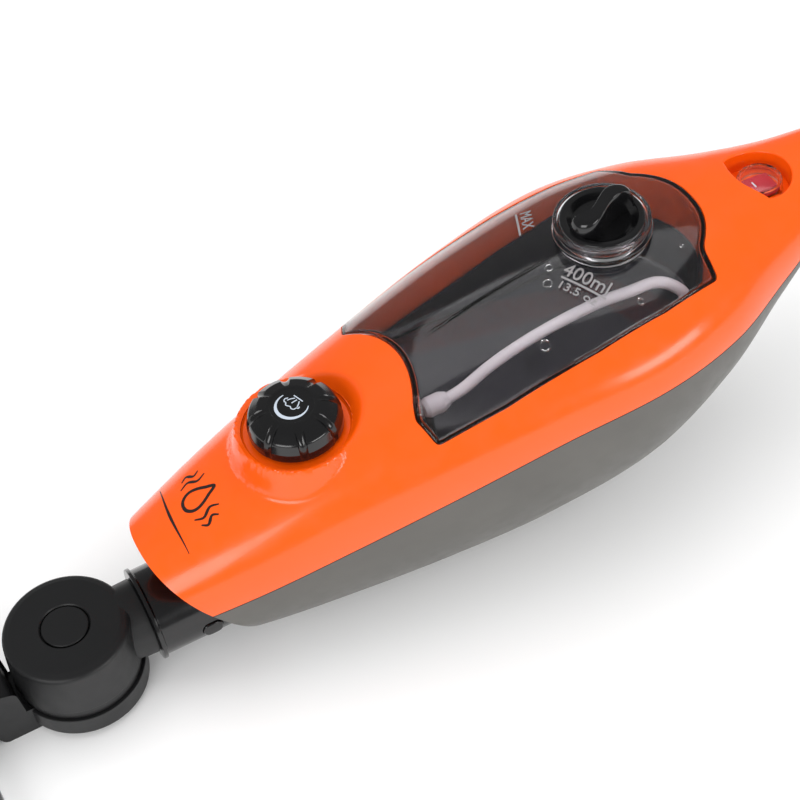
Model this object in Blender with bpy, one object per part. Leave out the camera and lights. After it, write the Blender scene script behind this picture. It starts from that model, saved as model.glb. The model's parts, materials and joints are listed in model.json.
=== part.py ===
"""A hand-held wallpaper steamer, as an assembly of separate solids.

Lengths are written in millimetres and turned into metres by MM. Every piece hangs from one datum on the
outlet tube's axis: +X runs along the body towards the handle, +Z points out of the water tank.
"""
import math

import bmesh
import bpy
from mathutils import Matrix, Vector

MM = 0.001
GAP = 0.3                      # clearance between touching pieces
WALL = 2.5                     # thickness of both casing shells
ROUND = 2.3                    # exponent of the pillowy body section, 2 would be an ellipse
ARC_STEPS = 10                 # facets over half a body section

# Body lines: station, half width, top, parting line, underside.
STATIONS = (
    (-134, 27.5, 43, 16, -10),
    (-90, 38, 61, 27, -19),
    (-50, 45, 76, 37, -24),
    (0, 53, 90, 50, -27),
    (50, 60, 101, 63, -25),
    (100, 64, 107, 71, -10),
    (140, 56, 108, 73, 19),
    (175, 40, 105, 76, 48),
    (205, 28, 103, 82, 66),
    (240, 21, 104, 86, 69),
    (290, 19.5, 106, 88, 70),
    (330, 19, 105, 87, 69),
)
GRIP_END = 330                 # where the end of the handle starts to close
HANDLE_END = 345
GLAND_HOLE = 6.2               # radius left open at the end of the handle

MOUTH_X = -112                 # front edge of the casing at the parting line
MOUTH_Z = 20
MOUTH_SLANT = 0.73             # forward lean of the mouth for each unit of height

TANK_FLOOR = 54.5
TANK_WALL = 2.0
TANK_REAR = 150.5              # crown of the arch at the rear of the tank
CAP_X = 104.7
SPIGOT_X = 129
SPIGOT_Y = -33.5
NECK_TOP = 119
NECK_RADIUS = 22
NECK_BORE = 19.2

KNOB_X = -49
KNOB_SEAT = 75.5
KNOB_RADIUS = 20.9
KNOB_TOP = 89

SWITCH_X = 187.5
SWITCH_FLOOR = 92
POCKET_X = 183
POCKET_RADIUS = 16.5

TUBE_RADIUS = 20.6
TUBE_BORE = 17.2
TUBE_FRONT = -136.5
TUBE_REAR = -88
BUTTON_X = -112
BUTTON_Z = -3

PIVOT_X = -171
DRUM_RADIUS = 29.5
DRUM_TOP = 17.5
HOUSING_BOTTOM = -7
BASE_TOP = -13
BASE_BOTTOM = -26
PIN_RADIUS = 4

HEAD_X = -285
HEAD_LENGTH = 120
HEAD_WIDTH = 206
HINGE_Z = 3

POST_RADIUS = 4.6
BOLTS = ((-86, 26), (-86, -26), (-25, 32), (-25, -32), (160, 27), (160, -27), (296, 0))


def smooth_curve(knots):
    """A cubic through (x, value) knots, with the slope at each knot taken from its neighbours."""
    slopes = []
    for i in range(len(knots)):
        before = knots[max(i - 1, 0)]
        after = knots[min(i + 1, len(knots) - 1)]
        slopes.append((after[1] - before[1]) / (after[0] - before[0]))

    def value(x):
        i = 0
        while i < len(knots) - 2 and x > knots[i + 1][0]:
            i += 1
        (x0, a), (x1, b) = knots[i], knots[i + 1]
        h = x1 - x0
        t = (x - x0) / h
        return ((1 + 2 * t) * (1 - t) ** 2 * a + t * (1 - t) ** 2 * h * slopes[i]
                + t * t * (3 - 2 * t) * b + t * t * (t - 1) * h * slopes[i + 1])

    return value


LINES = [smooth_curve([(s[0], s[k]) for s in STATIONS]) for k in range(1, 5)]


def body_lines(x):
    """Half width, top, parting line and underside at a station, closing over the end of the handle."""
    width, top, seam, under = (line(min(x, GRIP_END)) for line in LINES)
    if x > GRIP_END:
        reach = (x - GRIP_END) / (HANDLE_END - GRIP_END)
        shrink = math.sqrt(max(0.0, 1 - reach * reach))
        rim = GLAND_HOLE + WALL
        width = rim + (width - rim) * shrink
        top = seam + rim + (top - seam - rim) * shrink
        under = seam - rim - (seam - rim - under) * shrink
    return width, top, seam, under


def half_section(x, side, inset=0.0, lift=0.0):
    """Points of the upper (side 1) or lower (side -1) half of a body section, from +Y to -Y."""
    width, top, seam, under = body_lines(x)
    height = (top - seam if side > 0 else seam - under) - inset
    points = []
    for i in range(ARC_STEPS + 1):
        angle = math.pi * i / ARC_STEPS
        y = (width - inset) * math.copysign(abs(math.cos(angle)) ** (2 / ROUND), math.cos(angle))
        rise = 0.0 if i in (0, ARC_STEPS) else height * math.sin(angle) ** (2 / ROUND)
        points.append((x, y, seam + side * max(lift, rise)))
    return points


def station_list(start, end, step=23.0):
    """Evenly spaced stations along the body, with finer ones over the closing end of the handle."""
    straight_end = min(end, GRIP_END)
    count = max(2, round((straight_end - start) / step))
    xs = [start + (straight_end - start) * i / count for i in range(count + 1)]
    if end > GRIP_END:
        for part in (0.3, 0.55, 0.75, 0.9, 1.0):
            xs.append(GRIP_END + (HANDLE_END - GRIP_END) * part)
    return xs


# ---------------------------------------------------------------- building tools

def clear_scene():
    for old in list(bpy.data.objects):
        bpy.data.objects.remove(old, do_unlink=True)


def finish(name, colour, roughness, metallic=0.0, alpha=1.0):
    material = bpy.data.materials.new(name)
    material.use_nodes = True
    shader = material.node_tree.nodes["Principled BSDF"]
    shader.inputs["Base Color"].default_value = (*colour, 1.0)
    shader.inputs["Roughness"].default_value = roughness
    shader.inputs["Metallic"].default_value = metallic
    shader.inputs["Alpha"].default_value = alpha
    material.diffuse_color = (*colour, alpha)
    return material


def put(name, bm, parent, material=None, smooth=True):
    """Make an object from a bmesh whose points are in millimetres from its parent."""
    bmesh.ops.remove_doubles(bm, verts=bm.verts, dist=0.01)
    bmesh.ops.recalc_face_normals(bm, faces=bm.faces)
    bmesh.ops.scale(bm, vec=(MM, MM, MM), verts=bm.verts)
    mesh = bpy.data.meshes.new(name)
    bm.to_mesh(mesh)
    bm.free()
    item = bpy.data.objects.new(name, mesh)
    bpy.context.collection.objects.link(item)
    item.parent = parent
    if material:
        mesh.materials.append(material)
    if smooth:
        mesh.shade_smooth()
        mesh.set_sharp_from_angle(angle=math.radians(35))
    return item


def empty(name, parent, x, y, z):
    axis = bpy.data.objects.new(name, None)
    bpy.context.collection.objects.link(axis)
    axis.parent = parent
    axis.location = (x * MM, y * MM, z * MM)
    return axis


def ring_of(bm, points):
    verts = [bm.verts.new(p) for p in points]
    edges = [bm.edges.new((verts[i], verts[(i + 1) % len(verts)])) for i in range(len(verts))]
    return verts, edges


def lofted(rings):
    """A closed solid through rings of the same number of points."""
    bm = bmesh.new()
    made = [ring_of(bm, ring)[0] for ring in rings]
    count = len(rings[0])
    for low, high in zip(made, made[1:]):
        for i in range(count):
            j = (i + 1) % count
            bm.faces.new((low[i], low[j], high[j], high[i]))
    bm.faces.new(made[0])
    bm.faces.new(made[-1])
    return bm


def turned(profile, steps=20, axis="Z", at=(0, 0, 0), closed=False):
    """Spin a (radius, height) profile round an axis; an open profile starts and ends on the axis."""
    bm = bmesh.new()
    verts = [bm.verts.new((radius, 0, height)) for radius, height in profile]
    edges = [bm.edges.new(pair) for pair in zip(verts, verts[1:])]
    if closed:
        edges.append(bm.edges.new((verts[-1], verts[0])))
    bmesh.ops.spin(bm, geom=verts + edges, axis=(0, 0, 1), cent=(0, 0, 0), angle=2 * math.pi, steps=steps,
                   use_duplicate=False)
    bmesh.ops.remove_doubles(bm, verts=bm.verts, dist=0.001)
    turn = {"Z": Matrix(), "X": Matrix.Rotation(math.pi / 2, 4, "Y"), "Y": Matrix.Rotation(-math.pi / 2, 4,
                                                                                           "X")}
    bmesh.ops.transform(bm, matrix=Matrix.Translation(at) @ turn[axis], verts=bm.verts)
    return bm


def disc(radius, low, high, steps=20, axis="Z", at=(0, 0, 0), edge=0.0):
    """A round bar; edge chamfers its upper rim."""
    profile = [(0, low), (radius, low), (radius, high - edge), (radius - edge, high), (0, high)]
    if not edge:
        profile.pop(3)
        profile[2] = (radius, high)
    return turned(profile, steps, axis, at)


def washer(outer, inner, low, high, steps=20, axis="Z", at=(0, 0, 0)):
    return turned([(outer, low), (outer, high), (inner, high), (inner, low)], steps, axis, at, closed=True)


def prism(outline, low, high, plane="XY", taper=None):
    """Extrude a flat outline: XY between heights, or XZ between two Y positions."""
    def place(point, level):
        return (point[0], point[1], level) if plane == "XY" else (point[0], level, point[1])
    top = taper or outline
    return lofted([[place(p, low) for p in outline], [place(p, high) for p in top]])


def rounded(points, radius, steps=4):
    """Replace each corner of an outline by an arc."""
    out = []
    count = len(points)
    for i in range(count):
        corner = Vector(points[i])
        before = Vector(points[i - 1]) - corner
        after = Vector(points[(i + 1) % count]) - corner
        angle = before.angle(after)
        if angle > math.radians(160):
            out.append(tuple(corner))
            continue
        cut = min(radius / math.tan(angle / 2), 0.45 * before.length, 0.45 * after.length)
        start = corner + before.normalized() * cut
        end = corner + after.normalized() * cut
        for k in range(steps + 1):
            t = k / steps
            out.append(tuple((1 - t) ** 2 * start + 2 * t * (1 - t) * corner + t * t * end))
    return out


def grown(outline, amount):
    """Offset a counter-clockwise outline outwards by an amount."""
    out = []
    count = len(outline)
    for i in range(count):
        here = Vector(outline[i])
        back = (here - Vector(outline[i - 1])).normalized()
        ahead = (Vector(outline[(i + 1) % count]) - here).normalized()
        normal_back = Vector((back.y, -back.x))
        normal_ahead = Vector((ahead.y, -ahead.x))
        middle = (normal_back + normal_ahead).normalized()
        out.append(tuple(here + middle * amount / max(0.4, middle.dot(normal_back))))
    return out


def rectangle(x, y, length, width, radius):
    half_x, half_y = length / 2, width / 2
    corners = [(x - half_x, y - half_y), (x + half_x, y - half_y), (x + half_x, y + half_y),
               (x - half_x, y + half_y)]
    return rounded(corners, radius)


def box(low, high):
    outline = [(low[0], low[1]), (high[0], low[1]), (high[0], high[1]), (low[0], high[1])]
    return prism(outline, low[2], high[2])


def joined(*parts):
    """Put several bmeshes into one, as separate bodies."""
    whole = bmesh.new()
    for part in parts:
        mesh = bpy.data.meshes.new("scratch")
        part.to_mesh(mesh)
        part.free()
        whole.from_mesh(mesh)
        bpy.data.meshes.remove(mesh)
    return whole


def cutter(name, bm, parent):
    item = put(name, bm, parent, smooth=False)
    item.hide_render = True
    item.display_type = "WIRE"
    return item


def boolean(item, tool, operation, solver="EXACT"):
    """Join or cut with a tool; the thin casing, tank and knuckle walls need the manifold solver."""
    step = item.modifiers.new(operation.lower(), "BOOLEAN")
    step.object = tool
    step.operation = operation
    step.solver = solver


def soft_edges(item, width, segments=2):
    step = item.modifiers.new("soft edges", "BEVEL")
    step.width = width * MM
    step.segments = segments
    step.limit_method = "ANGLE"
    step.angle_limit = math.radians(40)
    return step


def hose(name, points, radius, parent, material, sides=2, handles="AUTO"):
    """A round hose or wire along a smooth curve through its points."""
    curve = bpy.data.curves.new(name, "CURVE")
    curve.dimensions = "3D"
    curve.bevel_depth = radius * MM
    curve.bevel_resolution = sides
    curve.use_fill_caps = True
    curve.resolution_u = 3
    spline = curve.splines.new("BEZIER")
    spline.bezier_points.add(len(points) - 1)
    for knot, point in zip(spline.bezier_points, points):
        knot.co = Vector(point) * MM
        knot.handle_left_type = knot.handle_right_type = handles
    curve.materials.append(material)
    item = bpy.data.objects.new(name, curve)
    bpy.context.collection.objects.link(item)
    item.parent = parent
    return item


# ---------------------------------------------------------------- outlines and cutters

def tank_outline():
    """Plan of the tank, counter-clockwise: concave front with two ears, straight sides, arched rear."""
    near = [(-6.0, -30), (-2.5, -42), (30, -45.5), (75, -47), (108, -46), (137, -42), (138.5, -29)]
    arch = []
    for i in range(9):
        y = -26 + 52 * i / 8
        arch.append((TANK_REAR - 11.5 * abs(y / 27) ** 2.4, y))
    far = [(x, -y) for x, y in reversed(near)]
    tongue = []
    for i in range(7):
        y = 24 - 48 * i / 6
        tongue.append((3 - 8 * (y / 26) ** 2, y))
    return rounded(near + arch + far + tongue, 4.0, 3)


def body_solid(inset, start, end):
    """The whole body form as one solid, shrunk by an inset."""
    rings = []
    for x in station_list(start, end):
        upper = half_section(x, 1, inset)
        lower = half_section(x, -1, inset)
        rings.append(upper + lower[-2:0:-1])
    return lofted(rings)


def mouth_cutter(name, parent):
    """Everything in front of the slanted mouth."""
    low, high = -60, 90
    edge = [(MOUTH_X - MOUTH_SLANT * (z - MOUTH_Z), z) for z in (low, high)]
    outline = [(-220, low), edge[0], edge[1], (-220, high)]
    return cutter(name, prism(outline, -80, 80, "XZ"), parent)


def shell(side):
    """One casing half, open along the parting line."""
    rings = []
    for x in station_list(-134, HANDLE_END):
        outer = half_section(x, side, 0.0, GAP / 2)
        inner = half_section(x, side, WALL, GAP / 2)
        rings.append(outer + inner[::-1])
    return lofted(rings)


def screw_posts(side):
    """The posts that take the case screws, reaching from the casing wall to the parting line."""
    posts = []
    for x, y in BOLTS:
        seam = body_lines(x)[2]
        wall = wall_height(x, abs(y) + POST_RADIUS, side) - side * WALL / 2
        rim = seam + side * GAP / 2
        posts.append(disc(POST_RADIUS, min(wall, rim), max(wall, rim), 8, at=(x, y, 0)))
    return joined(*posts)


def wall_height(x, y, side):
    """Height of the upper or lower casing surface at a point in plan."""
    width, top, seam, under = body_lines(x)
    bulge = (1 - min(1.0, abs(y / width)) ** ROUND) ** (1 / ROUND)
    return seam + bulge * (top - seam if side > 0 else under - seam)


def screw_holes():
    """Clearance for the case screws: a counterbore from below and a hole into the upper post."""
    holes = []
    for x, y in BOLTS:
        seat = screw_seat(x, y)
        holes.append(turned([(0, -60), (3.4, -60), (3.4, seat), (1.8, seat), (1.8, body_lines(x)[2] + 7),
                             (0, body_lines(x)[2] + 7)], 8, at=(x, y, 0)))
    return joined(*holes)


def screw_seat(x, y):
    """Height of the ledge that a case screw's head pulls against."""
    surface = wall_height(x, y, -1)
    return surface + min(8.0, (body_lines(x)[2] - surface) / 2)


# ---------------------------------------------------------------- the pieces

def casing(datum, orange, grey):
    upper = put("upper_shell", shell(1), datum, orange)
    lower = put("lower_shell", shell(-1), datum, grey)

    outline = tank_outline()
    form = cutter("guide_body_form", body_solid(0.4, -60, 200), datum)
    well = cutter("guide_tank_well", prism(grown(outline, 2.6), TANK_FLOOR - 6, 130), datum)
    boolean(well, form, "INTERSECT")
    hole = cutter("guide_tank_hole", prism(grown(outline, 0.7), 30, 140), datum)
    collar = cutter("guide_knob_collar", turned([(0, 55), (33, 55), (31, 66), (26.5, KNOB_SEAT + 1.5),
                                                 (0, KNOB_SEAT + 1.5)], 36, at=(KNOB_X, 0, 0)), datum)
    inside = cutter("guide_inner_form", body_solid(WALL / 2, -130, 130), datum)
    boolean(collar, inside, "DIFFERENCE")
    dish = cutter("guide_knob_dish", turned([(0, KNOB_SEAT), (23.5, KNOB_SEAT), (24.5, KNOB_SEAT + 2),
                                             (34, KNOB_SEAT + 16), (0, KNOB_SEAT + 16)], 36,
                                            at=(KNOB_X, 0, 0)), datum)
    stem = cutter("guide_stem_hole", disc(4, 40, 90, 16, at=(KNOB_X, 0, 0)), datum)
    seat = cutter("guide_knob_floor", washer(24.3, 3.5, KNOB_SEAT - 3, KNOB_SEAT + 1, 36,
                                             at=(KNOB_X, 0, 0)), datum)
    pocket_outline = []
    for i in range(15):
        angle = math.radians(-115 + 230 * i / 14)
        pocket_outline.append((POCKET_X + POCKET_RADIUS * math.cos(angle), POCKET_RADIUS * math.sin(angle)))
    pocket = cutter("guide_switch_pocket", prism(pocket_outline, SWITCH_FLOOR, 130), datum)
    housing = cutter("guide_switch_tub", prism(grown(pocket_outline, 2.2), SWITCH_FLOOR - 2.2, 100), datum)
    slot = cutter("guide_switch_slot", box((SWITCH_X - 8, -5.4, 80), (SWITCH_X + 8, 5.4, 110)), datum)
    upper_posts = cutter("guide_upper_posts", screw_posts(1), datum)
    lower_posts = cutter("guide_lower_posts", screw_posts(-1), datum)
    holes = cutter("guide_screw_holes", screw_holes(), datum)
    mouth = mouth_cutter("guide_mouth", datum)

    for tool in (well, collar, seat, housing, upper_posts):
        boolean(upper, tool, "UNION", "MANIFOLD")
    for tool in (hole, dish, stem, pocket, slot, holes, mouth):
        boolean(upper, tool, "DIFFERENCE", "MANIFOLD")
    boolean(lower, lower_posts, "UNION", "MANIFOLD")
    for tool in (holes, mouth):
        boolean(lower, tool, "DIFFERENCE", "MANIFOLD")


def water_tank(datum, clear, black, rubber, hose_plastic, navy):
    outline = tank_outline()
    tank = put("water_tank", prism(outline, TANK_FLOOR, 130), datum, clear)
    form = cutter("guide_tank_skin", body_solid(0.5, -40, 190), datum)
    collar = [(0, 95), (NECK_RADIUS, 95), (NECK_RADIUS, NECK_TOP - 1), (NECK_RADIUS - 1, NECK_TOP),
              (0, NECK_TOP)]
    neck = cutter("guide_tank_neck", turned(collar, 40, at=(CAP_X, 0, 0)), datum)
    cavity = cutter("guide_tank_cavity", prism(grown(outline, -TANK_WALL), TANK_FLOOR + TANK_WALL, 125),
                    datum)
    inner = cutter("guide_tank_inner_skin", body_solid(0.5 + TANK_WALL, -40, 190), datum)
    boolean(cavity, inner, "INTERSECT")
    bore = cutter("guide_tank_bore", turned([(0, 90), (17, 90), (17, NECK_TOP - 5),
                                             (NECK_BORE, NECK_TOP - 5),
                                             (NECK_BORE, 130), (0, 130)], 40, at=(CAP_X, 0, 0)), datum)
    port = cutter("guide_tank_port", disc(3.3, 40, 60, 16, at=(SPIGOT_X, SPIGOT_Y, 0)), datum)
    boolean(tank, form, "INTERSECT", "MANIFOLD")
    boolean(tank, neck, "UNION", "MANIFOLD")
    for tool in (cavity, bore, port):
        boolean(tank, tool, "DIFFERENCE", "MANIFOLD")

    tray = put("tank_cradle", prism(grown(outline, 0.3), TANK_FLOOR - 3.3, TANK_FLOOR - GAP), datum, navy)
    boolean(tray, port, "DIFFERENCE")

    spigot = turned([(3, TANK_FLOOR - 9), (3, TANK_FLOOR + 12), (1.4, TANK_FLOOR + 12),
                     (1.4, TANK_FLOOR - 9)],
                    16, at=(SPIGOT_X, SPIGOT_Y, 0), closed=True)
    put("tank_spigot", spigot, datum, navy)
    put("spigot_seal", washer(5.6, 3.2, TANK_FLOOR + TANK_WALL + 0.3, TANK_FLOOR + TANK_WALL + 2, 20,
                              at=(SPIGOT_X, SPIGOT_Y, 0)), datum, rubber)
    top = (SPIGOT_X, SPIGOT_Y, TANK_FLOOR + 12 + GAP)
    path = [top, (SPIGOT_X, SPIGOT_Y, 74), (SPIGOT_X - 4, -30, 84), (114, -22, 88), (92, -14.5, 87),
            (58, -11, 81),
            (36, -12.5, 75), (24, -14.5, 69), (16.8, -14.5, 68)]
    hose("intake_hose", path, 2.6, datum, hose_plastic)
    put("intake_filter", turned([(0, 0), (3.6, 0), (4.6, 1.5), (4.6, 10), (3.4, 12), (0, 12)], 20, "X",
                                at=(4.4, -14.5, 68)), datum, hose_plastic)

    axis = empty("cap_axis", datum, CAP_X, 0, 0)
    put("filler_cap", filler_cap(), axis, black)
    put("cap_seal", washer(16.6, 14.2, NECK_TOP - 11.5, NECK_TOP - 9.5, 28), axis, rubber)


def filler_cap():
    """A dished screw cap with a raised finger bar across it."""
    dish = turned([(0, NECK_TOP - 9), (16.4, NECK_TOP - 9), (16.4, NECK_TOP - 4.4), (18.6, NECK_TOP - 4.4),
                   (18.6, NECK_TOP + 0.2), (18, NECK_TOP + 0.8), (15.5, NECK_TOP + 0.8), (11,
                                                                                          NECK_TOP - 2.5),
                   (0, NECK_TOP - 3.5)], 36)
    return dish


def cap_bar(axis, cap, black):
    """The finger bar, joined to the cap's dish."""
    outline = []
    for i in range(13):
        x = -15.5 + 31 * i / 12
        outline.append((x, -3.2 - 1.2 * math.cos(math.pi * x / 15.5)))
    outline += [(x, -y) for x, y in reversed(outline)]
    low = prism(outline, NECK_TOP - 5, NECK_TOP + 8.5, taper=[(x * 0.72, y * 0.7) for x, y in outline])
    bar = cutter("guide_cap_bar", low, axis)
    boolean(cap, bar, "UNION")


def steam_knob(datum, black, brass, rubber):
    axis = empty("knob_axis", datum, KNOB_X, 0, 0)
    low = KNOB_SEAT + GAP
    knob = put("steam_knob", turned([(0, low), (19.6, low), (KNOB_RADIUS, low + 1.5),
                                     (KNOB_RADIUS - 0.7, 82),
                                     (17.5, 87), (14, KNOB_TOP - 0.3), (0, KNOB_TOP)], 36), axis, black)
    grooves = []
    for i in range(8):
        angle = 2 * math.pi * (i + 0.2) / 8
        groove = disc(2.6, 70, 95, 8, at=(KNOB_RADIUS + 0.9, 0, 0))
        bmesh.ops.rotate(groove, cent=(0, 0, 0), matrix=Matrix.Rotation(angle, 3, "Z"), verts=groove.verts)
        grooves.append(groove)
    boolean(knob, cutter("guide_knob_grooves", joined(*grooves), axis), "DIFFERENCE")
    boolean(knob, cutter("guide_knob_socket", disc(3.3, 60, 84, 16), axis), "DIFFERENCE")
    put("knob_spindle", disc(3, 56, 83.5, 16, edge=0.5), axis, brass)
    put("knob_seal", washer(6.5, 4.3, KNOB_SEAT - 6.5, KNOB_SEAT - 4.7, 20, at=(KNOB_X, 0, 0)), datum,
        rubber)
    put("steam_valve", turned([(0, 44), (10, 44), (10, 64), (6, 68.5), (3.4, 68.5), (3.4, 55), (0, 55)], 24,
                              at=(KNOB_X, 0, 0)), datum, brass)


def power_switch(datum, red, clear, black):
    put("switch_body", box((SWITCH_X - 7.4, -5, 77), (SWITCH_X + 7.4, 5, SWITCH_FLOOR - 2.8)), datum, black)
    axis = empty("rocker_axis", datum, SWITCH_X, 0, SWITCH_FLOOR)
    profile = [(-7.4, 0), (0, -0.7), (7.4, 0), (7.6, 2.2), (0, 3.4), (-7.6, 4.2)]
    rocker = put("power_rocker", prism(profile, -4.9, 4.9, "XZ"), axis, red)
    soft_edges(rocker, 0.4, 1)
    profile = [(0, 6.2), (8.4, 5.6), (9.4, 4), (9.4, GAP), (10.4, GAP), (10.4, 4.5), (9.2, 6.4), (0, 7.2)]
    cover = turned(profile, 32, at=(SWITCH_X, 0, SWITCH_FLOOR))
    put("switch_cover", cover, datum, clear)


def steam_works(datum, metal, black, rubber, tube):
    """Boiler, pump and the pipes between them."""
    block = rectangle(-43, 0, 64, 40, 8)
    put("boiler_block", prism(block, -11, 20), datum, metal)
    put("boiler_gasket", prism(block, 20.3, 21.5), datum, rubber)
    put("boiler_lid", prism(block, 21.8, 30), datum, metal)
    ends = [(-16, 9.6, -14.6), (-34, 9.6, -14.6), (-52, 9.6, -14.6), (-61.6, 0, -14.6), (-52, -9.6, -14.6),
            (-34, -9.6, -14.6), (-16, -9.6, -14.6)]
    hose("heater_element", ends, 3.2, datum, tube)
    put("thermostat", turned([(0, 30.3), (8, 30.3), (8, 34), (6, 37.5), (0, 37.5)], 24, at=(-65, 0, 0)),
        datum, metal)
    put("thermal_fuse", disc(2.6, -58, -38, 12, "X", at=(0, 24, 8), edge=0.6), datum, metal)
    hose("valve_inlet_pipe", [(-30, 0, 30.3), (-30, 0, 38), (-31, 0, 49), (-35, 0, 50), (-38.4, 0, 50)],
         2.4, datum, tube)
    hose("valve_outlet_pipe", [(-59.5, 0, 52), (-65, 0, 52), (-74, 0, 44), (-79.5, 0, 34), (-81, 0, 20),
                               (-84, 0, 8),
                               (-92, 0, 1), (-104, 0, 0), (-150, 0, 0)], 2.6, datum, tube)
    pump_z = 16
    put("pump_body", turned([(0, 14), (6, 14), (6, 22), (16, 22), (16, 66), (8, 66), (8, 78), (0, 78)], 28,
                            "X",
                            at=(0, 0, pump_z)), datum, black)
    for name, x in (("pump_mount_front", 26), ("pump_mount_rear", 56)):
        put(name, washer(20, 16.3, x, x + 6, 24, "X", at=(0, 0, pump_z)), datum, rubber)
    hose("pump_outlet_hose", [(13.4, 0, pump_z), (8, 0, pump_z), (-2, 0, 9), (-10.7, 0, 8)], 3, datum,
         rubber)
    hose("pump_inlet_hose", [(78.6, 0, pump_z), (86, 0, pump_z), (106, -12, 24), (SPIGOT_X - 2, -32, 33),
                             (SPIGOT_X, SPIGOT_Y, 40),
                             (SPIGOT_X, SPIGOT_Y, TANK_FLOOR - 9 - GAP)], 3, datum, rubber)


def electrics(datum, board_green, white, black, wire):
    put("control_board", box((86, -16, 36), (116, 16, 37.6)), datum, board_green)
    put("terminal_block", box((90, 2, 37.9), (112, 12, 46)), datum, white)
    hose("wiring_loom", [(112.3, 7, 42), (138, 7, 42), (155, 7, 44), (165, 8, 58), (174, 9, 72),
                         (186, 9, 82), (200, 9, 84),
                         (235, 8, 84), (270, 7.8, 84), (306, 7.8, 83)], 1.8, datum, wire)
    seam_end = body_lines(HANDLE_END)[2]
    put("cord_gland", turned([(5.8, 328), (5.8, 345.4), (8.4, 345.4), (8.0, 348.4), (6.2, 350), (3.4, 350),
                              (3.4, 328)], 28,
                             "X", at=(0, 0, seam_end), closed=True), datum, black)
    put("cord_clamp", box((312, -9, seam_end - 9), (320, 9, seam_end - 4)), datum, black)


def outlet(datum, gloss, rubber, steel, black):
    profile = [(TUBE_RADIUS + 1.3, TUBE_FRONT), (TUBE_RADIUS + 1.3, TUBE_FRONT + 1.8),
               (TUBE_RADIUS, TUBE_FRONT + 2.4),
               (TUBE_RADIUS, TUBE_REAR), (TUBE_BORE, TUBE_REAR), (TUBE_BORE, TUBE_FRONT)]
    tube = put("outlet_tube", turned(profile, 32, "X", closed=True), datum, gloss)
    pill = rectangle(BUTTON_X, BUTTON_Z, 9.4, 7.4, 3.6)
    window = cutter("guide_button_window", prism(grown(pill, 0.35), -30, -10, "XZ"), datum)
    boolean(tube, window, "DIFFERENCE")
    put("tube_seal", washer(17, 14.2, -106, -103.5, 28, "X"), datum, rubber)

    rings = []
    for x in (-94, -91):
        rings.append(half_section(x, 1, WALL + 1.2) + half_section(x, -1, WALL + 1.2)[-2:0:-1])
    bulkhead = put("mouth_bulkhead", lofted(rings), datum, black, smooth=False)
    boolean(bulkhead, cutter("guide_bulkhead_bore", disc(TUBE_RADIUS + 0.5, -100, -80, 32, "X"), datum),
            "DIFFERENCE")
    boolean(bulkhead, cutter("guide_bulkhead_posts", screw_post_space(), datum), "DIFFERENCE")

    axis = empty("button_axis", datum, BUTTON_X, 0, BUTTON_Z)
    shape = rectangle(0, 0, 9.4, 7.4, 3.6)
    button = put("release_button", prism(shape, -21.6, -13.5, "XZ"), axis, gloss)
    soft_edges(button, 0.6, 2)
    spring = [(-3.5, -8.2), (3.5, -8.2), (3.5, -8.8), (-2.6, -8.8), (0, -10.4), (3.5, -10.4), (3.5, -11),
              (-0.6, -11),
              (-3.5, -9.2)]
    leaf = [(BUTTON_X + x, y) for x, y in spring]
    put("release_spring", prism(leaf, BUTTON_Z - 2, BUTTON_Z + 2), datum, steel, smooth=False)


def screw_post_space():
    return joined(*[disc(5.2, -40, 90, 12, at=(x, y, 0)) for x, y in BOLTS[:2]])


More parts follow.
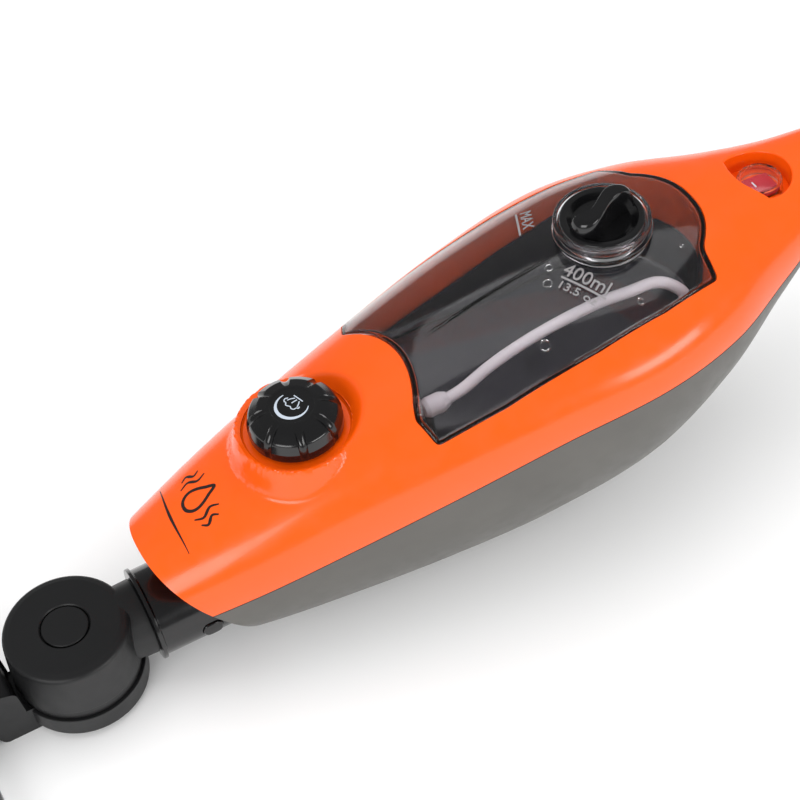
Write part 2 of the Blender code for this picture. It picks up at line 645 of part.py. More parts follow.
def knuckle(datum, black, steel):
    """The swivel between the outlet tube and the steam head."""
    pivot_zero = empty("knuckle_fixed_axis", datum, PIVOT_X, 0, 0)
    drum = [(0, HOUSING_BOTTOM), (DRUM_RADIUS, HOUSING_BOTTOM), (DRUM_RADIUS - 0.8, 6),
            (DRUM_RADIUS - 2.4, DRUM_TOP - 3.5),
            (DRUM_RADIUS - 4.4, DRUM_TOP - 1), (DRUM_RADIUS - 7.5, DRUM_TOP), (0, DRUM_TOP)]
    housing = put("knuckle_housing", turned(drum, 32), pivot_zero, black)
    neck = cutter("guide_neck", turned([(0, 8), (17.2, 8), (17.8, 34.2), (16.8, 34.2), (16.8, 52),
                                        (0, 52)], 32, "X"),
                  pivot_zero)
    undercut = cutter("guide_housing_undercut", disc(DRUM_RADIUS + 1, -40, HOUSING_BOTTOM + 0.01, 32),
                      pivot_zero)
    boolean(housing, neck, "UNION", "MANIFOLD")
    boolean(housing, undercut, "DIFFERENCE", "MANIFOLD")
    recess = turned([(0, -30), (PIN_RADIUS + GAP, -30), (PIN_RADIUS + GAP, DRUM_TOP - 2.6),
                     (11.7, DRUM_TOP - 2.6),
                     (11.7, 40), (0, 40)], 32)
    boolean(housing, cutter("guide_pin_bore", recess, pivot_zero), "DIFFERENCE", "MANIFOLD")
    boolean(housing, cutter("guide_steam_way", disc(3.2, 18, 60, 16, "X"), pivot_zero), "DIFFERENCE",
            "MANIFOLD")
    put("pivot_cap", disc(11.3, DRUM_TOP - 2.3, DRUM_TOP + 0.2, 32, edge=0.5), pivot_zero, black)
    put("knuckle_pin", disc(PIN_RADIUS, BASE_BOTTOM + 2, DRUM_TOP - 2.9, 20), pivot_zero, steel)
    put("knuckle_washer", washer(DRUM_RADIUS - 1, PIN_RADIUS + GAP, BASE_TOP + GAP, HOUSING_BOTTOM - GAP,
                                 28),
        pivot_zero, black)

    swing = empty("swing_axis", datum, PIVOT_X, 0, 0)
    base = put("knuckle_base", turned([(0, BASE_BOTTOM), (DRUM_RADIUS - 2, BASE_BOTTOM),
                                       (DRUM_RADIUS + 0.5, BASE_BOTTOM + 3),
                                       (DRUM_RADIUS + 0.5, BASE_TOP), (0, BASE_TOP)], 32), swing, black)
    reach = HEAD_X - PIVOT_X
    arm = [(-20, BASE_BOTTOM), (-20, BASE_TOP), (-31, BASE_TOP), (-46, -6), (-62, 7), (-82, 12)]
    for i in range(9):
        angle = math.radians(90 + 180 * i / 8)
        arm.append((reach + 9 * math.cos(angle), HINGE_Z + 9 * math.sin(angle)))
    arm += [(-90, -6.3), (-60, -7.5), (-48, -14), (-42, BASE_BOTTOM)]
    boolean(base, cutter("guide_arm", prism(arm[::-1], -12, 12, "XZ"), swing), "UNION")
    boolean(base, cutter("guide_base_bore", disc(PIN_RADIUS + GAP, BASE_BOTTOM + 1.5, 0, 20), swing),
            "DIFFERENCE")
    boolean(base, cutter("guide_arm_bore", disc(3.4, -20, 20, 20, "Y", at=(reach, 0, HINGE_Z)), swing),
            "DIFFERENCE")


def steam_head(datum, black, grey, rubber, steel):
    hinge = empty("head_axis", datum, HEAD_X, 0, HINGE_Z)
    sole = FLOOR_Z - HINGE_Z
    outline = rectangle(0, 0, HEAD_LENGTH, HEAD_WIDTH, 16)
    plate = put("sole_plate", prism(outline, sole, sole + 6), hinge, grey)
    soft_edges(plate, 0.8, 1)
    holes = []
    for row in range(3):
        for column in range(6):
            holes.append(disc(1.7, sole - 5, sole + 15, 6, at=(-32 + 32 * row, -75 + 30 * column, 0)))
    boolean(plate, cutter("guide_steam_holes", joined(*holes), hinge), "DIFFERENCE")

    inset = rectangle(0, 0, HEAD_LENGTH - 6, HEAD_WIDTH - 6, 14)
    opening = rectangle(0, 0, HEAD_LENGTH - 16, HEAD_WIDTH - 16, 10)
    gasket = put("head_gasket", prism(inset, sole + 6.3, sole + 7.8), hinge, rubber)
    boolean(gasket, cutter("guide_gasket_hole", prism(opening, sole, sole + 20), hinge), "DIFFERENCE")
    low = sole + 8.1
    rings = []
    for shrink, height in ((4, low), (4, low + 4), (9, low + 7.5), (22, low + 9.5)):
        rings.append([(x, y, height) for x, y in rectangle(0, 0, HEAD_LENGTH - shrink, HEAD_WIDTH - shrink,
                                                           15 - shrink / 4)])
    cover = put("head_cover", lofted(rings), hinge, black)
    lug = [(-15, low + 5), (15, low + 5), (9.5, 3)]
    for i in range(7):
        angle = math.radians(20 + 140 * i / 6)
        lug.append((9 * math.cos(angle), 9 * math.sin(angle)))
    lug.append((-9.5, 3))
    lugs = joined(prism(lug, 12.5, 19, "XZ"), prism(lug, -19, -12.5, "XZ"))
    boolean(cover, cutter("guide_head_lugs", lugs, hinge), "UNION")
    boolean(cover, cutter("guide_head_bore", disc(3.4, -30, 30, 20, "Y"), hinge), "DIFFERENCE")
    chamber = prism(rectangle(0, 0, HEAD_LENGTH - 20, HEAD_WIDTH - 20, 10), low - 5, low + 4.5)
    boolean(cover, cutter("guide_head_chamber", chamber, hinge), "DIFFERENCE")
    put("head_pin", disc(3.1, -18.6, 18.6, 20, "Y"), hinge, steel)


def case_screws(datum, steel):
    for number, (x, y) in enumerate(BOLTS, 1):
        seat = screw_seat(x, y)
        tip = body_lines(x)[2] + 6
        put(f"case_screw_{number}", turned([(0, seat - 2.4), (2.9, seat - 2.4), (2.9, seat - GAP),
                                            (1.5, seat - GAP), (1.5, tip - 1),
                                            (0, tip)], 8, at=(x, y, 0)), datum, steel)


def build():
    clear_scene()
    orange = finish("orange gloss", (0.95, 0.16, 0.01), 0.25)
    grey = finish("warm grey", (0.19, 0.18, 0.165), 0.45)
    clear = finish("smoked clear", (0.60, 0.60, 0.66), 0.08, alpha=0.45)
    gloss = finish("gloss black", (0.008, 0.008, 0.009), 0.15)
    satin = finish("satin black", (0.018, 0.019, 0.021), 0.45)
    navy = finish("dark cradle", (0.02, 0.018, 0.035), 0.5)
    rubber = finish("rubber", (0.03, 0.03, 0.03), 0.8)
    silicone = finish("milky silicone", (0.75, 0.75, 0.78), 0.35)
    red = finish("red lens", (0.75, 0.02, 0.03), 0.2)
    metal = finish("cast aluminium", (0.65, 0.66, 0.67), 0.4, 1.0)
    brass = finish("brass", (0.75, 0.55, 0.25), 0.3, 1.0)
    tube = finish("steel tube", (0.6, 0.6, 0.6), 0.3, 1.0)
    steel = finish("zinc plated steel", (0.7, 0.7, 0.7), 0.3, 1.0)
    board = finish("circuit board", (0.02, 0.16, 0.07), 0.5)
    white = finish("white nylon", (0.8, 0.8, 0.78), 0.5)
    wire = finish("wire sleeve", (0.05, 0.05, 0.05), 0.6)

    datum = bpy.data.objects.new("datum", None)
    bpy.context.collection.objects.link(datum)
    datum.location = (DATUM_X * MM, 0, -FLOOR_Z * MM)

    casing(datum, orange, grey)
    water_tank(datum, clear, gloss, rubber, silicone, navy)
    cap = bpy.data.objects["filler_cap"]
    cap_bar(cap.parent, cap, gloss)
    steam_knob(datum, gloss, brass, rubber)
    power_switch(datum, red, clear, satin)
    steam_works(datum, metal, satin, rubber, tube)
    electrics(datum, board, white, satin, wire)
    outlet(datum, gloss, rubber, steel, satin)
    knuckle(datum, satin, steel)
    steam_head(datum, satin, grey, rubber, steel)
    case_screws(datum, steel)


FLOOR_Z = min(body_lines(x)[3] for x in station_list(-134,
                                                     HANDLE_END))    # what the body and the sole lie on
DATUM_X = -(350 + HEAD_X - HEAD_LENGTH / 2) / 2                            # centres the whole length

build()
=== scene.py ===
"""Looks of the hand-held wallpaper steamer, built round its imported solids.

Lengths are in millimetres from the datum, which is the point on the outlet tube's axis where x is 0; make()
turns them into metres in the frame.
"""
import json
import math

import bmesh
import bpy
import numpy as np
from mathutils import Matrix, Vector


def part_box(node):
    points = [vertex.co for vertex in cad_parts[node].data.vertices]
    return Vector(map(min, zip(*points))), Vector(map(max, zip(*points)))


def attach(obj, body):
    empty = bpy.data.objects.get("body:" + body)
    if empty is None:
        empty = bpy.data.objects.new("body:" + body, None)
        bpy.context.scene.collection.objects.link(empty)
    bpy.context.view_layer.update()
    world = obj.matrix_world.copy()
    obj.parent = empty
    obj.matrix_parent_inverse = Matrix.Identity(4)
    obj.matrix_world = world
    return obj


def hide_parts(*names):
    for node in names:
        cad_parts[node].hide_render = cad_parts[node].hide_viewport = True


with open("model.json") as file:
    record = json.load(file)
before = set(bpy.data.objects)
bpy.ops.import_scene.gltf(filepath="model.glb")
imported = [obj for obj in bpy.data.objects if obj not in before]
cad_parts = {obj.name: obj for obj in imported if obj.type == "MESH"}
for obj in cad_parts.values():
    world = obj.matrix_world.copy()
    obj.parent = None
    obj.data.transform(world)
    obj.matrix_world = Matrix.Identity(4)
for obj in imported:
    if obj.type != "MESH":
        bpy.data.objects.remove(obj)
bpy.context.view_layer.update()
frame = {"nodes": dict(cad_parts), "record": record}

MM = 0.001
PIVOT_X = -171                                  # the knuckle's pin, from the datum


def centre(node):
    low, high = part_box(node)
    return (low + high) / 2


DATUM = Vector((centre("knuckle_pin").x - PIVOT_X * MM, 0, centre("outlet_tube").z))
TO_FRAME = Matrix.Translation(DATUM) @ Matrix.Scale(MM, 4)

# ---------------------------------------------------------------- the body's lines

ROUND = 2.3
WALL = 2.5
SEAM_GAP = 0.6
# Each station: x, half width, top, parting line, underside.
STATIONS = (
    (-134, 27.5, 43, 16, -10),
    (-90, 38, 61, 27, -19),
    (-50, 45, 76, 37, -24),
    (0, 53, 90, 50, -27),
    (50, 60, 101, 63, -25),
    (100, 64, 107, 71, -10),
    (140, 56, 108, 73, 19),
    (175, 40, 105, 76, 48),
    (205, 28, 103, 82, 66),
    (240, 21, 104, 86, 69),
    (290, 19.5, 106, 88, 70),
    (330, 19, 105, 87, 69),
)
GRIP_END = 330
HANDLE_END = 345
GLAND_HOLE = 6.2
POST_RADIUS = 4.6
MOUTH_X, MOUTH_Z, MOUTH_SLANT = -112, 20, 0.73

TANK_FLOOR = 54.5
TANK_WALL = 2.0
TANK_CROWN, CROWN_HALF_WIDTH = 4.5, 47.5
TANK_GAP = 0.15
DRAFT, DRAFT_TOP = 3.0, 100.0                   # the tank leans in this much from that height to its floor
TANK_REAR = 150.5
CAP_X = 104.7
NECK_TOP, NECK_BORE = 119, 19.2
SPIGOT = (129, -33.5)
KNOB_X, KNOB_SEAT, KNOB_RADIUS, KNOB_FACE = -49, 75.5, 20.9, 90.2
NOTCHES, NOTCH_RADIUS = 8, 2.35
HOSE_RADIUS = 2.6
FILTER_START = (4.4, -14.5, 68)
DISH_BORE, DISH_RIM = 24.2, 77.0
COLLAR_TOP, COLLAR_RADIUS, KNOB_REACH = 77.8, 27.0, 46
NOTCH_TURN = -104                               # degrees
SWITCH_X, SWITCH_FLOOR = 186.6, 92
POCKET_X, POCKET_RADIUS = 184, 16.2
TUBE_RADIUS, TUBE_BORE, TUBE_FRONT, TUBE_REAR = 20.6, 17.2, -136.5, -88
BUTTON_X, BUTTON_Z = -112, -3
SPIGOT_BORE, SPIGOT_DEPTH = 3.3, (40, 60)
DRUM_RADIUS, DRUM_TOP, HOUSING_BOTTOM, BASE_TOP, BASE_BOTTOM = 29.5, 17.5, -7, -13, -26
HEAD_X, HEAD_LENGTH, HEAD_WIDTH, HINGE_Z = -285, 120, 206, 3
HEAD_MARGIN = 2                                 # the cover stays this much inside the plate
HINGE = (HEAD_X, 0, HINGE_Z)
PIN_BORE = 4.3
FLOOR_Z = -DATUM.z / MM
BOLTS = ((-86, 26), (-86, -26), (-25, 32), (-25, -32), (160, 27), (160, -27), (296, 0))


def smooth_curve(knots):
    """A cubic through (x, value) knots, with the slope at each knot taken from its neighbours."""
    xs = np.array([k[0] for k in knots], float)
    ys = np.array([k[1] for k in knots], float)
    after = np.r_[np.arange(1, len(xs)), len(xs) - 1]
    before = np.r_[0, np.arange(0, len(xs) - 1)]
    slopes = (ys[after] - ys[before]) / (xs[after] - xs[before])

    def value(x):
        x = np.asarray(x, float)
        i = np.clip(np.searchsorted(xs, x) - 1, 0, len(xs) - 2)
        h = xs[i + 1] - xs[i]
        t = (x - xs[i]) / h
        return ((1 + 2 * t) * (1 - t) ** 2 * ys[i] + t * (1 - t) ** 2 * h * slopes[i]
                + t * t * (3 - 2 * t) * ys[i + 1] + t * t * (t - 1) * h * slopes[i + 1])

    return value


LINES = [smooth_curve([(s[0], s[k]) for s in STATIONS]) for k in range(1, 5)]


def body_lines(x):
    """Half width, top, parting line and underside at stations x."""
    x = np.asarray(x, float)
    width, top, seam, under = (line(np.minimum(x, GRIP_END)) for line in LINES)
    reach = np.clip((x - GRIP_END) / (HANDLE_END - GRIP_END), 0, 1)
    shrink = np.sqrt(1 - reach * reach)
    rim = GLAND_HOLE + WALL
    closed = x > GRIP_END
    width = np.where(closed, rim + (width - rim) * shrink, width)
    top = np.where(closed, seam + rim + (top - seam - rim) * shrink, top)
    under = np.where(closed, seam - rim - (seam - rim - under) * shrink, under)
    return width, top, seam, under


def wall_height(x, y, side=1, inset=0.0):
    """Height of the casing's surface over a point in plan."""
    width, top, seam, under = body_lines(x)
    bulge = (1 - np.minimum(1.0, np.abs(np.asarray(y, float) / (width - inset))) ** ROUND) ** (1 / ROUND)
    return seam + bulge * ((top - seam - inset) if side > 0 else (under - seam + inset))


def tank_height(x, y):
    """The tank's crown stands a little above the casing's own curve."""
    x, y = np.asarray(x, float), np.asarray(y, float)
    along = np.sin(np.pi * np.clip((x + 12) / (TANK_REAR + 14), 0, 1)) ** 0.8
    return wall_height(x, y) + TANK_CROWN * along * np.clip(1 - (y / CROWN_HALF_WIDTH) ** 2, 0, 1)


def soft_max(a, b, reach):
    """The higher of two heights, blended where they are close."""
    near = np.maximum(reach - np.abs(a - b), 0) / reach
    return np.maximum(a, b) + near ** 3 * reach / 6


def knob_form(x, y, z):
    """Raise a collar round the steam knob and sink its dish into the casing's top."""
    radius = np.hypot(x - KNOB_X, y)
    collar = COLLAR_TOP - 3.2 * np.maximum(radius - COLLAR_RADIUS, 0)
    dish = DISH_RIM + 1.45 * np.maximum(radius - DISH_BORE - 0.3, 0)
    shaped = -soft_max(-soft_max(z, collar, 2.6), -dish, 2.0)
    return np.where(radius < KNOB_REACH, shaped, z)


# ---------------------------------------------------------------- mesh tools

def shade_smooth(mesh, angle):
    mesh.shade_smooth()
    mesh.set_sharp_from_angle(angle=math.radians(angle))


def make(name, bm, material, auto=35):
    """Turn a bmesh in millimetres into a smooth-shaded object in the frame."""
    bmesh.ops.remove_doubles(bm, verts=bm.verts, dist=0.0005)
    bmesh.ops.recalc_face_normals(bm, faces=bm.faces)
    bm.transform(TO_FRAME)
    mesh = bpy.data.meshes.new(name)
    bm.to_mesh(mesh)
    bm.free()
    mesh.materials.append(material)
    shade_smooth(mesh, auto)
    return linked(name, mesh)


def linked(name, data):
    """A new object in the scene, at the origin."""
    item = bpy.data.objects.new(name, data)
    bpy.context.scene.collection.objects.link(item)
    return item


def bake(item):
    """Replace an object's mesh by what its modifiers make of it."""
    graph = bpy.context.evaluated_depsgraph_get()
    result = bpy.data.meshes.new_from_object(item.evaluated_get(graph), depsgraph=graph)
    old = item.data
    item.modifiers.clear()
    item.data = result
    bpy.data.meshes.remove(old)
    return item


def cut(item, tool, operation="DIFFERENCE"):
    """Take a tool away from an item, or add or intersect it; the tool takes the item's material."""
    tool.data.materials[0] = item.data.materials[0]
    step = item.modifiers.new("cut", "BOOLEAN")
    step.operation = operation
    step.object = tool
    step.solver = "MANIFOLD"
    bake(item)
    bpy.data.objects.remove(tool, do_unlink=True)


def tool(bm):
    """A closed form to cut or join with, in millimetres."""
    return make("tool", bm, MATERIALS["tool"])


def place(item, body, slot=None, *nodes):
    """Ride on a body and stand for CAD nodes; the finish slot argument is not used."""
    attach(item, body)
    if nodes:
        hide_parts(*nodes)
    return item


def grid_mesh(points, wrap_rows=False, wrap_columns=False):
    """Quads over a rows x columns array of points."""
    points = np.asarray(points, float)
    rows, columns = points.shape[:2]
    bm = bmesh.new()
    verts = [[bm.verts.new(points[i, j]) for j in range(columns)] for i in range(rows)]
    for i in range(rows if wrap_rows else rows - 1):
        for j in range(columns if wrap_columns else columns - 1):
            a, b = i, (i + 1) % rows
            c, d = j, (j + 1) % columns
            bm.faces.new((verts[a][c], verts[a][d], verts[b][d], verts[b][c]))
    return bm


def lofted(rings):
    """A closed solid through rings of the same number of points."""
    bm = grid_mesh(rings, wrap_columns=True)
    bm.verts.ensure_lookup_table()
    count = len(rings[0])
    last = len(bm.verts) - count
    bm.faces.new(bm.verts[:count])
    bm.faces.new(bm.verts[last:])
    return bm


def turned(profile, steps=64, axis="Z", at=(0, 0, 0), closed=False):
    """Spin a (radius, height) profile round an axis; an open profile starts and ends on the axis."""
    angles = np.arange(steps) * 2 * math.pi / steps
    ring = np.array([[(r * math.cos(a), r * math.sin(a), h) for r, h in profile] for a in angles])
    bm = grid_mesh(ring, wrap_rows=True, wrap_columns=closed)
    bmesh.ops.remove_doubles(bm, verts=bm.verts, dist=0.0005)
    quarter = math.pi / 2
    turn = {"Z": Matrix(), "X": Matrix.Rotation(quarter, 4, "Y"), "Y": Matrix.Rotation(-quarter, 4, "X")}
    bm.transform(Matrix.Translation(at) @ turn[axis])
    return bm


def eased(points, radius, steps=4, closed=False):
    """Round the corners of an outline or a profile; each point may carry its own radius as a third value."""
    out = []
    count = len(points)
    for i in range(count):
        own = points[i][2] if len(points[i]) > 2 else radius
        corner = Vector(points[i][:2])
        if not closed and i in (0, count - 1):
            out.append(tuple(corner))
            continue
        before = Vector(points[i - 1][:2]) - corner
        after = Vector(points[(i + 1) % count][:2]) - corner
        angle = before.angle(after)
        if own <= 0 or angle > math.radians(170):
            out.append(tuple(corner))
            continue
        reach = min(own / math.tan(angle / 2), 0.48 * before.length, 0.48 * after.length)
        start = corner + before.normalized() * reach
        end = corner + after.normalized() * reach
        for k in range(steps + 1):
            t = k / steps
            out.append(tuple((1 - t) ** 2 * start + 2 * t * (1 - t) * corner + t * t * end))
    return out


def grown(outline, amount):
    """Offset a counter-clockwise outline outwards by an amount."""
    here = np.asarray(outline, float)
    back = here - np.roll(here, 1, 0)
    ahead = np.roll(here, -1, 0) - here
    back /= np.linalg.norm(back, axis=1)[:, None]
    ahead /= np.linalg.norm(ahead, axis=1)[:, None]
    normal_back = np.c_[back[:, 1], -back[:, 0]]
    normal_ahead = np.c_[ahead[:, 1], -ahead[:, 0]]
    middle = normal_back + normal_ahead
    middle /= np.linalg.norm(middle, axis=1)[:, None]
    stretch = np.maximum(0.5, (middle * normal_back).sum(1))
    return here + middle * (amount / stretch)[:, None]


def resampled(outline, spacing):
    """The same closed outline with even spacing."""
    here = np.vstack([outline, outline[:1]])
    steps = np.r_[0, np.cumsum(np.linalg.norm(np.diff(here, axis=0), axis=1))]
    count = int(round(steps[-1] / spacing))
    at = np.linspace(0, steps[-1], count, endpoint=False)
    return np.c_[np.interp(at, steps, here[:, 0]), np.interp(at, steps, here[:, 1])]


def rod(radius, low, high, steps=24, axis="Z", at=(0, 0, 0)):
    """A plain round form, to cut a bore or build up from."""
    return turned([(0, low), (radius, low), (radius, high), (0, high)], steps, axis, at)


def at_level(outline, level, plane="XY"):
    """A flat outline set at a height in plan, or at a depth in side view."""
    return [(a, b, level) if plane == "XY" else (a, level, b) for a, b in outline]


def prism(outline, low, high, plane="XY"):
    return lofted([at_level(outline, low, plane), at_level(outline, high, plane)])


def soft_prism(outline, low, high, radius, steps=4, plane="XY"):
    """An extruded outline with both rims rounded."""
    rings = []
    for k in range(steps + 1):
        angle = math.pi / 2 * k / steps
        rings.append((-radius * (1 - math.sin(angle)), low + radius * (1 - math.cos(angle))))
    rings += [(shrink, low + high - level) for shrink, level in reversed(rings)]
    return lofted([at_level(grown(outline, shrink), level, plane) for shrink, level in rings])


def rectangle(x, y, length, width, radius, steps=6):
    """A round-cornered rectangle about a centre."""
    a, b = length / 2, width / 2
    return eased([(x - a, y - b), (x + a, y - b), (x + a, y + b), (x - a, y + b)], radius, steps, closed=True)


def tube_along(points, radius, sides=20, spacing=1.5):
    """A round tube along a smooth curve."""
    knots = np.asarray(points, float)
    chord = np.r_[0, np.cumsum(np.linalg.norm(np.diff(knots, axis=0), axis=1))]
    count = max(6, int(chord[-1] / spacing))
    at = np.linspace(0, chord[-1], count)
    path = np.stack([smooth_curve(list(zip(chord, knots[:, k])))(at) for k in range(3)], 1)
    tangent = np.gradient(path, axis=0)
    tangent /= np.linalg.norm(tangent, axis=1)[:, None]
    side = np.cross(tangent[0], (0.0, 0.3, 1.0))
    rings = []
    for k in range(count):
        side = side - tangent[k] * side.dot(tangent[k])
        side /= np.linalg.norm(side)
        other = np.cross(tangent[k], side)
        angles = np.arange(sides) * 2 * math.pi / sides
        rings.append(path[k] + radius * (np.outer(np.cos(angles), side) + np.outer(np.sin(angles), other)))
    return lofted(rings)


def joined(*parts):
    """Several forms as one."""
    whole = bmesh.new()
    for part in parts:
        mesh = bpy.data.meshes.new("scratch")
        part.to_mesh(mesh)
        part.free()
        whole.from_mesh(mesh)
        bpy.data.meshes.remove(mesh)
    return whole


# ---------------------------------------------------------------- materials

MATERIALS = {}


class Nodes:
    """Short calls for a material's node tree."""

    def __init__(self, name):
        self.material = bpy.data.materials.new(name)
        self.material.use_nodes = True
        self.tree = self.material.node_tree
        self.shader = self.tree.nodes["Principled BSDF"]
        MATERIALS[name] = self.material

    def add(self, kind, **values):
        node = self.tree.nodes.new(kind)
        for key, value in values.items():
            if key in node.inputs:
                node.inputs[key].default_value = value
            else:
                setattr(node, key, value)
        return node

    def link(self, source, target):
        self.tree.links.new(source, target)

    def set(self, **values):
        for key, value in values.items():
            self.shader.inputs[key.replace("_", " ")].default_value = value

    def noise(self, scale, detail=3.0, rough=0.5):
        where = self.add("ShaderNodeTexCoord")
        node = self.add("ShaderNodeTexNoise", Scale=scale, Detail=detail, Roughness=rough)
        self.link(where.outputs["Object"], node.inputs["Vector"])
        return node.outputs["Fac"]

    def ramp(self, source, low, high):
        """Blend two colours over the middle of a noise."""
        node = self.add("ShaderNodeValToRGB")
        node.color_ramp.elements[0].position = 0.35
        node.color_ramp.elements[1].position = 0.65
        node.color_ramp.elements[0].color = (*low, 1)
        node.color_ramp.elements[1].color = (*high, 1)
        self.link(source, node.inputs["Fac"])
        return node.outputs["Color"]

    def span(self, source, low, high):
        """Spread the middle of a noise between two values."""
        node = self.add("ShaderNodeMapRange")
        for key, value in (("From Min", 0.3), ("From Max", 0.7), ("To Min", low), ("To Max", high)):
            node.inputs[key].default_value = value
        self.link(source, node.inputs["Value"])
        return node.outputs["Result"]

    def bump(self, source, strength, distance):
        node = self.add("ShaderNodeBump", Strength=strength, Distance=distance)
        self.link(source, node.inputs["Height"])
        self.link(node.outputs["Normal"], self.shader.inputs["Normal"])


def shade(colour, factor):
    return tuple(min(1.0, c * factor) for c in colour)


def plastic(name, colour, roughness, grain_scale, grain, coat=0.0, vary=0.05, spread=0.05):
    """Moulded plastic: faint mottling, uneven gloss and a fine surface grain."""
    n = Nodes(name)
    mottle = n.noise(28.0, 3.0)
    n.link(n.ramp(mottle, shade(colour, 1 - vary), shade(colour, 1 + vary)), n.shader.inputs["Base Color"])
    n.link(n.span(n.noise(120.0, 4.0), roughness - spread, roughness + spread), n.shader.inputs["Roughness"])
    n.bump(n.noise(grain_scale, 4.0, 0.6), grain, 0.0002)
    if coat:
        n.set(Coat_Weight=coat, Coat_Roughness=0.08)
    return n


def clear_plastic(name, colour, roughness, grain):
    """See-through moulded plastic with uneven clearness and a slight waviness."""
    n = Nodes(name)
    n.set(Base_Color=(*colour, 1), Transmission_Weight=1.0, IOR=1.46)
    n.link(n.span(n.noise(60.0, 3.0), roughness * 0.6, roughness * 1.6), n.shader.inputs["Roughness"])
    n.bump(n.noise(90.0, 2.0), grain, 0.0003)


def metal(name, colour, roughness, stretch=(1, 1, 1)):
    """Bare or plated metal with a directional grain."""
    n = Nodes(name)
    where = n.add("ShaderNodeTexCoord")
    mapping = n.add("ShaderNodeMapping")
    mapping.inputs["Scale"].default_value = stretch
    n.link(where.outputs["Object"], mapping.inputs["Vector"])
    grain = n.add("ShaderNodeTexNoise", Scale=400.0, Detail=5.0)
    n.link(mapping.outputs["Vector"], grain.inputs["Vector"])
    n.set(Metallic=1.0)
    n.link(n.ramp(grain.outputs["Fac"], shade(colour, 0.85), colour), n.shader.inputs["Base Color"])
    n.link(n.span(grain.outputs["Fac"], roughness - 0.08, roughness + 0.12), n.shader.inputs["Roughness"])
    n.bump(grain.outputs["Fac"], 0.15, 0.0001)


def build_materials():
    Nodes("tool")
    plastic("orange gloss plastic", (0.93, 0.098, 0.0015), 0.22, 900.0, 0.02, coat=0.2, vary=0.015)
    plastic("warm grey satin plastic", (0.09, 0.086, 0.077), 0.34, 2600.0, 0.12)
    plastic("gloss black plastic", (0.004, 0.004, 0.0045), 0.18, 700.0, 0.02, coat=0.3)
    plastic("satin black plastic", (0.008, 0.0082, 0.0088), 0.44, 3200.0, 0.16)
    plastic("dark cradle plastic", (0.009, 0.007, 0.016), 0.5, 1500.0, 0.08).set(Specular_IOR_Level=0.25)
    plastic("black rubber", (0.018, 0.018, 0.018), 0.72, 1800.0, 0.25)
    plastic("milky silicone", (0.56, 0.52, 0.54), 0.38, 700.0, 0.03).set(Transmission_Weight=0.25)
    clear_plastic("smoked clear plastic", (0.94, 0.93, 0.95), 0.05, 0.01)
    clear_plastic("clear cover plastic", (0.97, 0.97, 0.97), 0.03, 0.0)
    plastic("red lens plastic", (0.6, 0.02, 0.04), 0.15, 800.0, 0.02, coat=0.4).set(Transmission_Weight=0.35)
    plastic("pale print", (0.50, 0.56, 0.64), 0.4, 2000.0, 0.03)
    plastic("dark print", (0.020, 0.012, 0.010), 0.35, 2000.0, 0.03)
    plastic("mark relief", (0.36, 0.34, 0.35), 0.35, 900.0, 0.02).set(Transmission_Weight=0.3)
    plastic("white nylon", (0.78, 0.77, 0.73), 0.5, 1500.0, 0.05)
    plastic("circuit board green", (0.015, 0.12, 0.05), 0.4, 900.0, 0.1)
    plastic("floor", (0.93, 0.93, 0.93), 0.7, 60.0, 0.0, vary=0.0)
    metal("cast aluminium", (0.70, 0.71, 0.72), 0.45)
    metal("turned brass", (0.80, 0.58, 0.26), 0.28, (1, 1, 12))
    metal("plated steel", (0.72, 0.72, 0.71), 0.25, (12, 1, 1))


FINISH = {
    "orange_gloss": "orange gloss plastic",
    "grey_satin": "warm grey satin plastic",
    "clear_smoke": "smoked clear plastic",
    "black_gloss": "gloss black plastic",
    "black_satin": "satin black plastic",
    "dark_cradle": "dark cradle plastic",
    "rubber_black": "black rubber",
    "silicone_milky": "milky silicone",
    "red_lens": "red lens plastic",
    "cast_aluminium": "cast aluminium",
    "brass": "turned brass",
    "steel": "plated steel",
    "circuit_board": "circuit board green",
    "white_nylon": "white nylon",
}


def dress_cad_nodes():
    """Give every CAD solid that still shows the material of its slot."""
    slots = {s["node"]: s["material_slot"] for s in frame["record"]["subparts"]}
    for name, item in frame["nodes"].items():
        item.data.materials.clear()
        item.data.materials.append(MATERIALS[FINISH[slots[name]]])


# ---------------------------------------------------------------- outlines

def tank_outline(spacing=1.6):
    """Plan of the tank, counter-clockwise: concave front with two ears, straight sides, arched rear."""
    near = [(-6.0, -30), (-2.5, -42), (30, -45.5), (75, -47), (108, -46), (137, -42), (138.5, -29)]
    arch = [(TANK_REAR - 11.5 * abs(y / 27) ** 2.4, y) for y in np.linspace(-26, 29, 18)]
    far = [(135.5, 33), (129, 44.5), (108, 48), (75, 49.5), (30, 48.5), (-5, 45.5), (-10, 33)]
    tongue = [(3 - 8 * (y / 26) ** 2, y) for y in np.linspace(24, -24, 15)]
    points = [(x, y, 3.0) for x, y in near] + arch + [(x, y, 3.0) for x, y in far] + tongue
    return resampled(np.array(eased(points, 5.0, 5, closed=True)), spacing)


def pocket_outline():
    """Round rear and sides; the front edge bows forward a little."""
    angles = np.radians(np.linspace(-100, 118, 40))
    arc = np.c_[POCKET_X + POCKET_RADIUS * np.cos(angles), POCKET_RADIUS * np.sin(angles) * 0.97 - 0.3]
    bow = smooth_curve([(arc[0, 1], arc[0, 0]), (-10.5, 178.6), (-3, 175.2), (6, 174.6),
                        (arc[-1, 1], arc[-1, 0])])
    across = np.linspace(arc[-1, 1], arc[0, 1], 16)[1:-1]
    return np.vstack([arc, np.c_[bow(across), across]])


